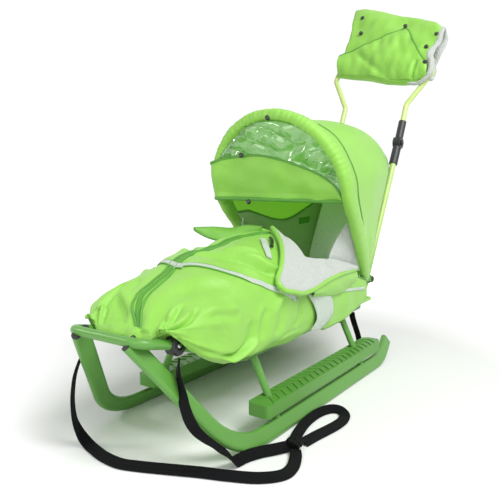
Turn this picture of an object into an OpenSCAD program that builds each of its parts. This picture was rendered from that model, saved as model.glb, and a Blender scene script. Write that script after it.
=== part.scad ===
// Baby sled: leaning tube runners, seat frame, foot bag, folding hood and a push handle that tilts.
// X points forward, Y to the sled's left and Z up. The floor is at z = 0.

/* [Runners] */
// Distance between the lines on which the two runners stand
track = 390; // [340:5:440]
// Height of the flat-oval runner tube
runner_h = 40; // [32:1:48]
// Thickness of the flat-oval runner tube
runner_w = 18; // [14:1:22]
// Inward lean of a runner's plane, in degrees
runner_lean = 25.6; // [20:0.2:28]
// Where the straight sole and the upsweep would meet
upsweep_x = 529; // [500:1:560]
// Slope of the upsweep within the runner's plane, in degrees
upsweep_angle = 58.6; // [50:0.2:64]
// Length of the upsweep from that corner to its tip
upsweep_len = 330; // [300:5:360]
// Bend radius of the upsweep
upsweep_bend = 165; // [100:5:200]
// Where the straight sole and the turned-up heel would meet
heel_x = -236; // [-280:1:-200]
// Slope of the heel, in degrees
heel_angle = 25; // [10:1:35]
// Length of the heel from that corner to its tip
heel_len = 92; // [70:2:130]
// Bend radius of the heel
heel_bend = 200; // [120:5:220]
// Thickness of the plug that closes a runner's front tip
plug_t = 4; // [2:0.5:8]

/* [Base frame] */
// Radius of the legs and cross tubes
leg_r = 9; // [7:0.5:11]
// Radius of the rails, the seat tubes and the front bar
tube_r = 10; // [8:0.5:12]
// Height of the rails above the floor
rail_z = 175; // [165:1:195]
// Rear end of the rails
rail_back_x = -225; // [-250:5:-205]
// Where the rails start to rise towards the hubs
rail_knee_x = 400; // [385:5:420]
// Front legs, measured along the sled
leg_front_x = 360; // [330:5:365]
// Rear legs, measured along the sled
leg_rear_x = -100; // [-120:5:-80]
// How far the cross tubes stand inside the legs
cross_inset = 32; // [26:1:50]
// Hub centre along the sled
hub_x = 608; // [595:1:620]
// How far a hub's centre stands outboard of the runner's middle plane
hub_out = 21.9; // [14:0.1:28]
// Hub centre above the floor
hub_z = 253; // [240:1:262]
// Radius of a hub
hub_r = 21; // [18:0.5:24]
// Width of a hub
hub_w = 27; // [23:1:32]
// Bend radius of the front bar's corners
bar_bend = 30; // [25:1:40]
// How far the front bar is let into the runners' tips
bar_sink = 5; // [3:0.5:8]

/* [Footrests] */
// Front end of a footrest
foot_front_x = 418; // [400:2:430]
// Rear end of a footrest
foot_back_x = -222; // [-240:2:-190]
// Width of a footrest
foot_w = 58; // [50:1:66]
// Height of a footrest's tread above the floor
foot_top = 82; // [76:1:92]
// Height of a footrest's skirt
foot_h = 30; // [24:1:32]
// Wall of the moulding
foot_wall = 3.5; // [2.5:0.5:5]
// Corner radius at the front end
foot_corner = 12; // [8:1:18]
// Height of the chevron ribs
rib_h = 2.5; // [1:0.5:4]
// Distance from one chevron rib to the next
rib_pitch = 27; // [22:1:36]

/* [Seat frame] */
// Where the seat tube and the back tube would meet
back_x = -254; // [-270:1:-240]
// Backward lean of the back tubes, in degrees
back_lean = 29; // [24:1:34]
// Bend radius between the seat tube and the back tube
back_bend = 80; // [60:2:90]
// Front end of the seat tubes
seat_front_x = 330; // [300:5:345]
// Half width of the seat board
seat_half_w = 168; // [150:1:176]
// Thickness of the seat board and the foot board
board_t = 9; // [6:0.5:14]
// How far the back board's sides stand inside the back tubes' centre lines
back_inset = 12.5; // [11:0.5:24]
// Length of the straight sides of the back board, up the back tubes
back_side = 430; // [400:5:440]
// Thickness of the back board
back_t = 8; // [5:0.5:12]
// Thickness of the back pad
pad_t = 34; // [20:1:45]

/* [Handle] */
// Distance up the back tubes from their corner to the handle's pivot
pivot_up = 561; // [552:1:600]
// Backward lean of the handle, in degrees
handle_lean = 27; // [20:1:34]
// Radius of the handle tube
handle_r = 9; // [7:0.5:10]
// Distance from the pivot to the outward bend
handle_splay = 150; // [130:2:170]
// Distance from the pivot to the elbow, where the handle is widest
handle_elbow = 272; // [250:2:300]
// Half width at the elbow
handle_half_w = 184; // [150:2:200]
// Distance from the pivot to the grip
handle_reach = 350; // [330:2:390]
// Half width of the grip between its corners
grip_half_w = 168; // [140:2:180]
// Bend radius of the handle tube
handle_bend = 34; // [26:1:40]
// Radius of the knuckle discs
knuckle_r = 20; // [17:0.5:24]
// Thickness of a knuckle disc
knuckle_t = 12; // [9:0.5:15]
// Radius of the knuckle pin
pin_r = 4; // [3:0.25:5]
// Length of a knuckle's sleeve
sleeve_len = 62; // [50:1:80]
// Wall of a knuckle's sleeve
sleeve_wall = 4; // [3:0.5:6]

/* [Muff] */
// Height of the muff, up the handle
muff_h = 325; // [280:5:340]
// Thickness of the muff
muff_t = 84; // [70:2:110]
// Width of the muff across the handle
muff_w = 390; // [380:5:430]
// How far the muff's middle stands above the grip
muff_up = 36; // [20:2:50]
// How far the muff hangs askew, its right end higher, in degrees
muff_skew = 13; // [0:1:15]
// Wall of the muff
muff_wall = 11; // [6:1:16]

/* [Foot bag] */
// Rear edge of the bag's cover, at the waist
bag_back_x = 110; // [90:5:130]
// Toe end of the bag
bag_front_x = 640; // [632:2:650]
// How far the bag's sides stand out beyond the seat board
bag_over = 4; // [0:0.5:12]
// Top of the bag at the waist
bag_top = 418; // [400:2:440]
// Wall of the bag
bag_wall = 9; // [6:1:14]
// Thickness of the side panels beside the seat
side_t = 10; // [6:1:14]

/* [Hood] */
// Front of the hood at its widest
hood_x = 59; // [40:1:80]
// Half width of the hood's rim
hood_half_w = 205; // [195:1:215]
// Height of the rim where it is widest
hood_side_z = 532; // [520:2:545]
// Rise of the rim from there to its top
hood_rise = 216; // [200:2:230]
// Radius of the padded rim
rim_r = 16; // [13:0.5:18]
// How far the visor's lower edge hangs below the rim's widest place
visor_drop = 18; // [10:1:30]
// Thickness of the visor
visor_t = 5; // [3:0.5:8]
// Thickness of the hood's cover
cover_t = 6; // [4:0.5:9]
// Distance up the back tubes from their corner to the hood's pivot
hood_pivot_up = 66; // [62:1:80]

/* [Straps] */
// Width of the tow strap's webbing
web_w = 26; // [20:1:32]
// Width of the rear straps' webbing
web_rear_w = 19; // [16:1:26]
// Thickness of the webbing
web_t = 4; // [3:0.5:5]

/* [Hidden] */
$fn = 48;
// Running gap between a pin and its bore, gap between soft pieces and what carries them
run = 0.05;
gap = 0.3;
tiny = 0.01;
// How far a tube's straights reach into its bends, and how much larger a bend's section is
lap = 0.5;
weld = 0.1;

// Runner plane: u runs forward, v runs up the leaning plane from the sole
function plane_z(v) = runner_w / 2 + (v - runner_w / 2) * cos(runner_lean);
function plane_y(v) = track / 2 - (v - runner_w / 2) * sin(runner_lean);
function plane_v(z) = runner_w / 2 + (z - runner_w / 2) / cos(runner_lean);

sole_v = runner_h / 2;
tip = [upsweep_x + upsweep_len * cos(upsweep_angle), sole_v + upsweep_len * sin(upsweep_angle)];
heel = [heel_x - heel_len * cos(heel_angle), sole_v + heel_len * sin(heel_angle)];
runner_path = [heel, [heel_x, sole_v], [upsweep_x, sole_v], tip];
runner_bends = [heel_bend, upsweep_bend];

// Hubs, outboard of the runners' planes, and the front bar, let into the runners' tips
hub_y = plane_y(plane_v(hub_z)) + hub_out;
bar_uv = tip + (tube_r - bar_sink) * [cos(upsweep_angle), sin(upsweep_angle)];
bar_x = bar_uv[0];
bar_z = plane_z(bar_uv[1]);
arm_slope = atan2(bar_z - hub_z, bar_x - hub_x);
arm_len = norm([bar_z - hub_z, bar_x - hub_x]);

// Rails, in planes that lean from the legs' tops to the hubs
rail_y = plane_y(plane_v(rail_z));
rail_lean = atan2(rail_y - hub_y, hub_z - rail_z);
rail_rise = norm([rail_y - hub_y, hub_z - rail_z]);
rail_slope = atan2(rail_rise, hub_x - rail_knee_x);
rail_bend = 110;
socket = 7;
rail_path = [[rail_back_x, 0], [rail_knee_x, 0],
             [hub_x - socket * cos(rail_slope), rail_rise - socket * sin(rail_slope)]];

// Seat tubes rest on the rails and turn up into the back tubes
seat_z = rail_z + 2 * tube_r + gap;
board_z = seat_z + tube_r + gap;
seat_top = board_z + board_t;
back_dir = [-sin(back_lean), cos(back_lean)];
pivot_x = back_x + pivot_up * back_dir[0];
pivot_z = seat_z + pivot_up * back_dir[1];
tube_end = pivot_up - knuckle_r - 3;
seat_back_x = back_x + back_bend * tan((90 - back_lean) / 2) + 4;
back_half_w = rail_y - back_inset;
bag_half_w = seat_half_w + bag_over;
seat_path = [[seat_front_x, seat_z], [back_x, seat_z], [back_x, seat_z] + tube_end * back_dir];

// Handle, in its own leaning plane through the pivot: distance from the pivot, then across
handle_path = [[knuckle_r + 3, -rail_y], [handle_splay, -rail_y], [handle_elbow, -handle_half_w],
               [handle_reach, -grip_half_w], [handle_reach, grip_half_w], [handle_elbow, handle_half_w],
               [handle_splay, rail_y], [knuckle_r + 3, rail_y]];

// Hood pivot on the back tubes
hood_px = back_x + hood_pivot_up * back_dir[0];
hood_pz = seat_z + hood_pivot_up * back_dir[1];
hood_py = rail_y + tube_r + 3;
eye_t = 6;
eye_r = 11;

// Rim of the hood: how far its top leads its sides, and where it ends on the arms
hood_top_lead = 51;
rim_foot = [-190, 150, 262];

// The model is moved along X so that its middle is at the origin
muff_top = handle_reach + muff_up + (muff_h - muff_t) / 2 * cos(muff_skew) + muff_w / 2 * sin(muff_skew);
reach_back = pivot_x - muff_top * sin(handle_lean) - muff_t / 2;
reach_front = tip[0] + runner_h / 2 * sin(upsweep_angle) + plug_t * cos(upsweep_angle);
mid_x = round((reach_front + reach_back) / 2);

// Colours
green = [0.36, 0.80, 0.10];
cloth_green = [0.38, 0.85, 0.08];
handle_green = [0.62, 0.85, 0.35];
black = [0.05, 0.05, 0.05];
fleece = [0.90, 0.91, 0.90];

// Helpers for bent tubes: a path of corners in the XY plane, with a flat-oval or round section
function heading(p, q) = atan2(q[1] - p[1], q[0] - p[0]);
function turn(path, i) =
    let (d = heading(path[i], path[i + 1]) - heading(path[i - 1], path[i])) d - 360 * round(d / 360);
function setback(path, bends, i) =
    i <= 0 || i >= len(path) - 1 ? 0 : bends[i - 1] * tan(abs(turn(path, i)) / 2);

// A bend's section is a hair larger, so that the straights end inside it
module bent_tube(path, bends, h, w) {
    for (i = [0 : len(path) - 2]) {
        a = heading(path[i], path[i + 1]);
        s = setback(path, bends, i) - (i > 0 ? lap : 0);
        e = norm(path[i + 1] - path[i]) - setback(path, bends, i + 1) + (i < len(path) - 2 ? lap : 0);
        translate([path[i][0] + s * cos(a), path[i][1] + s * sin(a), 0])
            rotate([0, 0, a]) rotate([90, 0, 90]) linear_extrude(e - s) tube_section(h, w);
    }
    if (len(path) > 2) for (i = [1 : len(path) - 2]) {
        a = heading(path[i - 1], path[i]);
        t = turn(path, i);
        r = bends[i - 1];
        s = setback(path, bends, i);
        way = t > 0 ? 1 : -1;
        c = path[i] - s * [cos(a), sin(a)] + way * r * [-sin(a), cos(a)];
        translate([c[0], c[1], 0]) rotate([0, 0, t > 0 ? a - 90 : a + 90 + t])
            rotate_extrude(angle = abs(t), $fn = 96) translate([r, 0])
                tube_section(h + 2 * weld, w + 2 * weld);
    }
}

module tube_section(h, w) {
    if (h > w) stadium(h, w);
    else circle(w / 2);
}

module stadium(h, w) {
    square([h - w, w], center = true);
    for (s = [-1, 1]) translate([s * (h - w) / 2, 0]) circle(w / 2);
}

// Draws the children on the left side, or mirrored on the right one
module on_side(s) {
    if (s > 0) children();
    else mirror([0, 1, 0]) children();
}

// Puts a model drawn upright in the XZ plane into the left runner's leaning plane
module in_runner_plane() {
    translate([0, track / 2, runner_w / 2]) rotate([runner_lean, 0, 0])
        translate([0, 0, -runner_w / 2]) children();
}

// Turns a path's XY plane up into the XZ plane
module upright() { rotate([90, 0, 0]) children(); }

module centred() { translate([-mid_x, 0, 0]) children(); }

// Runners and their plugs
module runner_tube() {
    in_runner_plane() upright() bent_tube(runner_path, runner_bends, runner_h, runner_w);
}

module runner_sole() {
    in_runner_plane() upright() bent_tube([[heel_x, sole_v], [upsweep_x, sole_v]], [], runner_h, runner_w);
}

// Front bar: a flat U whose arms slope back into the hubs
module front_bar_tube(r) {
    path = [[socket - arm_len, -hub_y], [0, -hub_y], [0, hub_y], [socket - arm_len, hub_y]];
    translate([bar_x, 0, bar_z]) rotate([0, -arm_slope, 0])
        bent_tube(path, [bar_bend, bar_bend], 2 * r, 2 * r);
}

module front_bar() { color(green) centred() front_bar_tube(tube_r); }

module runner(s) {
    color(green) centred() on_side(s) difference() {
        runner_tube();
        front_bar_tube(tube_r + gap / 2);
    }
}

module runner_plug(s) {
    color(black) centred() on_side(s) difference() {
        in_runner_plane() upright() translate([tip[0], tip[1], 0]) rotate([0, 0, upsweep_angle])
            rotate([90, 0, 90]) linear_extrude(plug_t) stadium(runner_h, runner_w);
        front_bar_tube(tube_r + gap / 2);
    }
}

// Rails
module rail_tube(r) {
    translate([0, rail_y, rail_z]) rotate([rail_lean, 0, 0]) upright()
        bent_tube(rail_path, [rail_bend], 2 * r, 2 * r);
}

module rail(s) { color(green) centred() on_side(s) rail_tube(tube_r); }

// Hubs: moulded sockets that take a rail's front end and an arm of the front bar
module hub(s) {
    chamfer = 3;
    recess_r = 9;
    recess = 4;
    color(black) centred() on_side(s) difference() {
        translate([hub_x, hub_y, hub_z]) rotate([-90, 0, 0]) difference() {
            union() {
                cylinder(r = hub_r, h = hub_w - 2 * chamfer, center = true);
                for (k = [0, 1]) mirror([0, 0, k]) translate([0, 0, hub_w / 2 - chamfer])
                    cylinder(r1 = hub_r, r2 = hub_r - chamfer, h = chamfer);
            }
            translate([0, 0, hub_w / 2 - recess]) cylinder(r = recess_r, h = recess + 1);
        }
        rail_tube(tube_r);
        translate([bar_x, hub_y, bar_z]) rotate([0, -arm_slope - 90, 0])
            cylinder(r = tube_r, h = arm_len - socket);
    }
}

// Legs stand in the runners' planes, between sole and rail
module leg(s, x) {
    color(green) centred() on_side(s) difference() {
        in_runner_plane() translate([x, 0, sole_v]) cylinder(r = leg_r, h = plane_v(rail_z) - sole_v);
        runner_sole();
        rail_tube(tube_r);
    }
}

module cross_tube(x) {
    color(green) centred() difference() {
        translate([x, 0, rail_z]) rotate([90, 0, 0]) cylinder(r = leg_r, h = 2 * rail_y, center = true);
        for (s = [-1, 1]) on_side(s) rail_tube(tube_r);
    }
}

// Footrests: hollow mouldings with chevron ribs, threaded on the legs
foot_y = plane_y(plane_v(foot_top)) + 9;
foot_len = foot_front_x - foot_back_x;

module rounded_plan(len, w, front_r, back_r) {
    translate([back_r, -w / 2]) square([len - back_r - front_r, w]);
    translate([0, back_r - w / 2]) square([len, w - back_r - front_r]);
    translate([0, -w / 2 + back_r]) square([back_r, w - 2 * back_r]);
    translate([len - front_r, -w / 2 + front_r]) square([front_r, w - 2 * front_r]);
    for (k = [-1, 1]) {
        translate([back_r, k * (w / 2 - back_r)]) circle(back_r);
        translate([len - front_r, k * (w / 2 - front_r)]) circle(front_r);
    }
}

module chevron(half) {
    rib_w = 6;
    reach = half * 0.8;
    polygon([[0, 0], [reach, half], [reach + rib_w, half], [rib_w, 0], [reach + rib_w, -half],
             [reach, -half]]);
}

module footrest_shell() {
    back_r = foot_w / 2 - 6;
    edge = 5;
    first = foot_corner + 8;
    count = floor((foot_len - 2 * first - foot_w / 2) / rib_pitch);
    difference() {
        translate([foot_back_x, foot_y, foot_top - foot_h]) union() {
            difference() {
                linear_extrude(foot_h) rounded_plan(foot_len, foot_w, foot_corner, back_r);
                translate([foot_wall, 0, -1]) linear_extrude(foot_h - foot_wall + 1)
                    rounded_plan(foot_len - 2 * foot_wall, foot_w - 2 * foot_wall,
                                 foot_corner - foot_wall, back_r - foot_wall);
            }
            translate([0, 0, foot_h]) for (i = [0 : count]) translate([first + i * rib_pitch, 0, 0])
                linear_extrude(rib_h) chevron(foot_w / 2 - edge);
        }
        for (x = [leg_front_x, leg_rear_x]) leg_bore(x, leg_r + gap);
    }
    for (x = [leg_front_x, leg_rear_x]) difference() {
        intersection() {
            leg_bore(x, leg_r + foot_wall);
            translate([x, foot_y, foot_top - foot_h / 2])
                cube([4 * leg_r, foot_w - foot_wall, foot_h - foot_wall], center = true);
        }
        leg_bore(x, leg_r + gap);
    }
}

module leg_bore(x, r) {
    in_runner_plane() translate([x, 0, sole_v]) cylinder(r = r, h = plane_v(rail_z) - sole_v);
}

module footrest(s) { color(green) centred() on_side(s) footrest_shell(); }

// Seat tubes with the back tubes
module seat_tube_bar(r) {
    translate([0, rail_y, 0]) upright() bent_tube(seat_path, [back_bend], 2 * r, 2 * r);
}

module seat_tube(s) { color(green) centred() on_side(s) seat_tube_bar(tube_r); }

// Hand screws that clamp the seat tubes on the rails
clamp_x = leg_rear_x + 2 * leg_r + cross_inset;
module clamp(s) {
    stem_r = 4;
    plate_t = 3;
    knob_r = 13;
    knob_t = 12;
    color(black) centred() on_side(s) difference() {
        translate([clamp_x, rail_y, rail_z]) rotate([-90, 0, 0]) {
            cylinder(r = stem_r, h = tube_r + plate_t);
            translate([0, 0, tube_r + plate_t]) cylinder(r = knob_r, h = knob_t);
            translate([-2 * knob_r, 0, tube_r + plate_t]) translate([knob_r, 0, 0])
                cylinder(r = knob_r / 2, h = knob_t);
            translate([knob_r, 0, tube_r + plate_t]) cylinder(r = knob_r / 2, h = knob_t);
        }
        rail_tube(tube_r);
    }
}

// Boards that carry the seat and the feet
module seat_board() {
    color(cloth_green) centred() translate([seat_back_x, -seat_half_w, board_z])
        cube([seat_front_x - seat_back_x, 2 * seat_half_w, board_t]);
}

function rail_top(x) = rail_z + (x - rail_knee_x) * (hub_z - rail_z) / (hub_x - rail_knee_x);
foot_board_rise = atan2(hub_z - rail_z, hub_x - rail_knee_x);

module foot_board() {
    start = rail_bend * tan(foot_board_rise / 2) + 2.6 * tube_r;
    stop = (hub_x - rail_knee_x) / cos(foot_board_rise) - hub_r - 6;
    color(cloth_green) centred() translate([rail_knee_x, 0, rail_z]) rotate([0, -foot_board_rise, 0])
        translate([start, -rail_y - tube_r / 2, tube_r + gap])
            cube([stop - start, 2 * rail_y + tube_r, board_t]);
}

// Back board and back pad lie on the back tubes
module on_back() {
    translate([back_x, 0, seat_z]) rotate([0, -90 - back_lean, 0]) mirror([0, 0, 1]) children();
}

module back_plan(half, low, side) {
    translate([low, -half]) square([side - low, 2 * half]);
    translate([side, 0]) circle(half, $fn = 96);
}

board_low = 68;
module back_board() {
    color(cloth_green) centred() on_back() translate([0, 0, tube_r + gap]) linear_extrude(back_t)
        back_plan(back_half_w, board_low, back_side);
}

module back_pad() {
    color(fleece) centred() on_back() translate([0, 0, tube_r + back_t + 2 * gap]) linear_extrude(pad_t)
        back_plan(back_half_w - 5, board_low, back_side);
}

// Closed solid of a sheet: grid a of points on one face, grid b on the other, rows of n points
function flat(rows) = [for (r = rows) each r];
function quad(a, b, c, d) = [[a, b, c], [a, c, d]];
function sheet_faces(m, n) =
    let (o = m * n)
    flat([for (i = [0 : m - 2]) for (j = [0 : n - 2])
        let (p = i * n + j)
        concat(quad(p, p + 1, p + n + 1, p + n), quad(o + p, o + p + n, o + p + n + 1, o + p + 1))])
    ;
function sheet_edges(m, n) =
    let (o = m * n, e = (m - 1) * n)
    concat(
        flat([for (j = [0 : n - 2]) quad(j, o + j, o + j + 1, j + 1)]),
        flat([for (j = [0 : n - 2]) quad(e + j, e + j + 1, o + e + j + 1, o + e + j)]),
        flat([for (i = [0 : m - 2]) quad(i * n, i * n + n, o + i * n + n, o + i * n)]),
        flat([for (i = [0 : m - 2]) let (p = i * n + n - 1) quad(p, o + p, o + p + n, p + n)]));

module sheet(a, b) {
    m = len(a);
    n = len(a[0]);
    polyhedron(concat(flat(a), flat(b)), concat(sheet_faces(m, n), sheet_edges(m, n)));
}

// Closed solid of a cup: rings of n points from its mouth to its end, outside and then inside
module cup(a, b) {
    m = len(a);
    n = len(a[0]);
    o = m * n;
    side = flat([for (i = [0 : m - 2]) for (j = [0 : n - 1])
        let (k = (j + 1) % n, p = i * n)
        concat(quad(p + j, p + k, p + n + k, p + n + j),
               quad(o + p + j, o + p + n + j, o + p + n + k, o + p + k))]);
    mouth = flat([for (j = [0 : n - 1]) let (k = (j + 1) % n) quad(j, o + j, o + k, k)]);
    e = (m - 1) * n;
    end = flat([for (j = [1 : n - 2]) [[e, e + j, e + j + 1], [o + e, o + e + j + 1, o + e + j]]]);
    polyhedron(concat(flat(a), flat(b)), concat(side, mouth, end));
}

// Foot bag: columns are x, underside, top and half width
foot_board_top = tube_r / cos(foot_board_rise) + board_t / cos(foot_board_rise) + 4;
toe_under = hub_z + hub_r + 3;
bag_sections = [
    [bag_back_x, seat_top, bag_top, bag_half_w],
    [250, seat_top, bag_top - 3, bag_half_w],
    [rail_knee_x, seat_top, bag_top - 18, bag_half_w - 6],
    [500, max(seat_top, rail_top(500) + foot_board_top), bag_top - 36, bag_half_w - 16],
    [hub_x - hub_r - 12, toe_under, bag_top - 68, bag_half_w - 30],
    [bag_front_x, toe_under + 6, bag_top - 113, bag_half_w - 60]];

function boxy(a, p) = sign(a) * pow(abs(a), p);
// Points of a section between two angles, counted from the left side over the top
function bag_arc(s, wall, x, from, to, n) = [for (k = [0 : n])
    let (a = from + (to - from) * k / n, mid = (s[1] + s[2]) / 2, h = (s[2] - s[1]) / 2 - wall - gap)
    [x, (s[3] - wall) * boxy(cos(a), 0.55), mid + h * boxy(sin(a), 0.55)]];

// Panels of the bag from the waist to the rails' knees, a quarter of the section each
module bag_panel(middle) {
    from = middle - 45 + 0.1;
    to = middle + 45 - 0.1;
    rows = [for (i = [0 : 2]) [bag_sections[i], bag_sections[i][0] - (i == 2 ? gap : 0)]];
    inner = [for (r = rows) bag_arc(r[0], bag_wall, r[1], from, to, 7)];
    outer = [for (r = rows) bag_arc(r[0], 0, r[1], from, to, 7)];
    color(cloth_green) centred() sheet(inner, outer);
}

// Toe end of the bag, a closed cup
module bag_toe() {
    last = len(bag_sections) - 1;
    turn = 360 - 360 / 28;
    outer = [for (i = [2 : last]) bag_arc(bag_sections[i], 0, bag_sections[i][0], 0, turn, 27)];
    inner = [for (i = [2 : last])
        bag_arc(bag_sections[i], bag_wall, bag_sections[i][0] - (i == last ? bag_wall : 0), 0, turn, 27)];
    color(cloth_green) centred() cup(outer, inner);
}

// Side panels close the seat between the bag's mouth and the back
module side_panel(s) {
    back = seat_back_x + 6;
    low = seat_top + gap;
    side_h = bag_top - 20 - low;
    color(cloth_green) centred() on_side(s) translate([0, seat_half_w, 0]) rotate([90, 0, 0])
        linear_extrude(side_t)
            polygon([[back, low], [bag_back_x - gap, low], [bag_back_x - gap, low + side_h],
                     [bag_back_x - 60, low + 0.83 * side_h], [leg_rear_x - 20, low + 0.25 * side_h],
                     [back, low + 0.07 * side_h]]);
}

// Knuckles: a disc on each half, the lower one inboard, the upper one outboard
module at_pivot(lean) {
    translate([pivot_x, rail_y, pivot_z]) rotate([0, -90 - lean, 0]) children();
}

module knuckle_disc(inboard) {
    rotate([inboard ? 90 : -90, 0, 0]) translate([0, 0, gap]) cylinder(r = knuckle_r, h = knuckle_t);
}

module knuckle_half(inboard, inner_r) {
    outer_r = inner_r + sleeve_wall;
    difference() {
        union() {
            knuckle_disc(inboard);
            translate([knuckle_r - 6, 0, 0]) rotate([0, 90, 0]) cylinder(r = outer_r, h = sleeve_len + 6);
        }
        translate([knuckle_r + 3, 0, 0]) rotate([0, 90, 0]) cylinder(r = inner_r, h = sleeve_len + 6);
        rotate([inboard ? -90 : 90, 0, 0]) translate([0, 0, -gap])
            cylinder(r = knuckle_r + 1.5, h = knuckle_t + outer_r);
        rotate([inboard ? 90 : -90, 0, 0]) translate([0, 0, knuckle_t + gap])
            cylinder(r = knuckle_r + 1.5, h = outer_r);
    }
}

module knuckle_lower(s) {
    button_r = 10;
    button_t = 3;
    color(black) centred() on_side(s) union() {
        at_pivot(back_lean) rotate([0, 180, 0]) knuckle_half(true, tube_r + gap / 2);
        at_pivot(back_lean) rotate([-90, 0, 0]) {
            translate([0, 0, -knuckle_t / 2]) cylinder(r = pin_r, h = 1.5 * knuckle_t + 2 * gap + tiny);
            translate([0, 0, knuckle_t + 2 * gap]) cylinder(r = button_r, h = button_t);
        }
    }
}

module knuckle_upper(s) {
    color(black) centred() on_side(s) difference() {
        at_pivot(handle_lean) knuckle_half(false, handle_r + gap / 2);
        at_pivot(handle_lean) rotate([90, 0, 0]) cylinder(r = pin_r + run, h = 4 * knuckle_t, center = true);
    }
}

// Handle tube and muff
module in_handle_plane() {
    translate([pivot_x, 0, pivot_z]) rotate([0, -90 - handle_lean, 0]) children();
}

module handle_bar(r) {
    b = handle_bend;
    in_handle_plane() bent_tube(handle_path, [b, b, b, b, b, b], 2 * r, 2 * r);
}

module handle_tube() { color(handle_green) centred() handle_bar(handle_r); }

module muff() {
    color(cloth_green) centred() difference() {
        in_handle_plane() translate([handle_reach + muff_up, 0, 0]) rotate([0, 0, muff_skew])
            rotate([90, 0, 0]) difference() {
                linear_extrude(muff_w, center = true) stadium(muff_h, muff_t);
                linear_extrude(muff_w + 2, center = true)
                    stadium(muff_h - 2 * muff_wall, muff_t - 2 * muff_wall);
            }
        handle_bar(handle_r + gap);
    }
}

// Hood: clips with pins on the back tubes, arms that turn on them, the padded rim and the visor
module at_hood_pivot() { translate([hood_px, hood_py, hood_pz]) rotate([-90, 0, 0]) children(); }

module hood_clip(s) {
    clip_len = 22;
    clip_wall = 4;
    head_r = 7;
    head_t = 2.5;
    color(black) centred() on_side(s) difference() {
        union() {
            translate([hood_px, rail_y, hood_pz]) rotate([0, -back_lean, 0])
                cylinder(r = tube_r + clip_wall, h = clip_len, center = true);
            at_hood_pivot() {
                translate([0, 0, -3]) cylinder(r = eye_r - 3, h = 4.5);
                cylinder(r = pin_r, h = 2 + eye_t + 2 * gap + head_t);
                translate([0, 0, 2 + eye_t + gap]) cylinder(r = head_r, h = head_t);
            }
        }
        seat_tube_bar(tube_r + gap / 2);
    }
}

module hood_arm(s) {
    dx = rim_foot[0] - hood_px;
    dz = rim_foot[2] - hood_pz;
    color(green) centred() on_side(s) difference() {
        at_hood_pivot() translate([0, 0, 1.5 + gap]) {
            cylinder(r = eye_r, h = eye_t);
            rotate([0, 0, -atan2(dz, dx)]) translate([0, -eye_r / 2, 0])
                cube([norm([dx, dz]), eye_r, eye_t]);
        }
        at_hood_pivot() cylinder(r = pin_r + run, h = 40, center = true);
    }
}

// Rim's centre line on the left: over the top to the widest place, then down and back to the arm
function rim_upper(a) = [hood_x + hood_top_lead * cos(a), hood_half_w * sin(a),
                         hood_side_z + hood_rise * cos(a)];
function rim_lower(t) =
    let (w = hood_half_w - rim_foot[1], d = hood_x - rim_foot[0], h = hood_side_z - rim_foot[2])
    [hood_x - d * pow(t, 1.15), hood_half_w - w * t * t, hood_side_z - h * t];
function rim_point(t) = t < 0.5 ? rim_upper(180 * t) : rim_lower(2 * t - 1);

// Sweep of an oval along points: side gives the direction of each oval's width w
function unit(v) = v / norm(v);
function way(p, i) = unit(p[min(i + 1, len(p) - 1)] - p[max(i - 1, 0)]);
module swept(points, side, w, h, corners) {
    n = len(points);
    rings = [for (i = [0 : n - 1])
        let (t = way(points, i), s = unit(side[i] - (side[i] * t) * t), u = cross(s, t))
        [for (k = [0 : corners - 1]) let (a = 360 * k / corners)
            points[i] + w[i] / 2 * cos(a) * s + h[i] / 2 * sin(a) * u]];
    skin = flat([for (i = [0 : n - 2]) for (k = [0 : corners - 1])
        let (l = (k + 1) % corners, p = i * corners) quad(p + k, p + corners + k, p + corners + l, p + l)]);
    e = (n - 1) * corners;
    ends = flat([for (k = [1 : corners - 2]) [[0, k, k + 1], [e, e + k + 1, e + k]]]);
    polyhedron(flat(rings), concat(skin, ends));
}

module hood_rim() {
    steps = 40;
    points = [for (k = [-steps : steps]) let (t = abs(k) / steps, p = rim_point(t * 0.985))
        [p[0], (k < 0 ? -1 : 1) * p[1], p[2]]];
    thick = [for (k = [-steps : steps]) 2 * rim_r * (1 - 0.55 * pow(abs(k) / steps, 6))];
    color(cloth_green) centred() swept(points, [for (k = points) [1, 0, 0]], thick, thick, 10);
}

// Visor: a curtain inside the upper half of the rim
module hood_visor() {
    across_n = 20;
    up_n = 6;
    inset = rim_r + 2;
    bulge = 10;
    face = [for (i = [0 : across_n]) let (u = -1 + 2 * i / across_n)
        [for (j = [0 : up_n])
            let (top = hood_side_z - 6 + (hood_rise - inset + 6) * sqrt(max(0, 1 - u * u)),
                 low = hood_side_z - visor_drop, z = low + (top - low) * j / up_n)
            [hood_x + hood_top_lead * max(0, z - hood_side_z) / hood_rise + bulge * (1 - u * u),
             (hood_half_w - inset) * u, z]]];
    back = [for (r = face) [for (p = r) p - [visor_t, 0, 0]]];
    color(cloth_green) centred() sheet(back, face);
}

// Cover: from behind the rim to an arch on the back tubes, bulging outwards between them
function back_arch(t, half) =
    let (a = 180 * t, low = 2 * t - 1,
         s = t < 0.5 ? back_side + half * cos(a) : back_side - low * (back_side - board_low - 20),
         y = t < 0.5 ? half * sin(a) : half, n = tube_r + back_t)
    [back_x + s * back_dir[0] + n * cos(back_lean), y, seat_z + s * back_dir[1] + n * sin(back_lean)];

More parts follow.
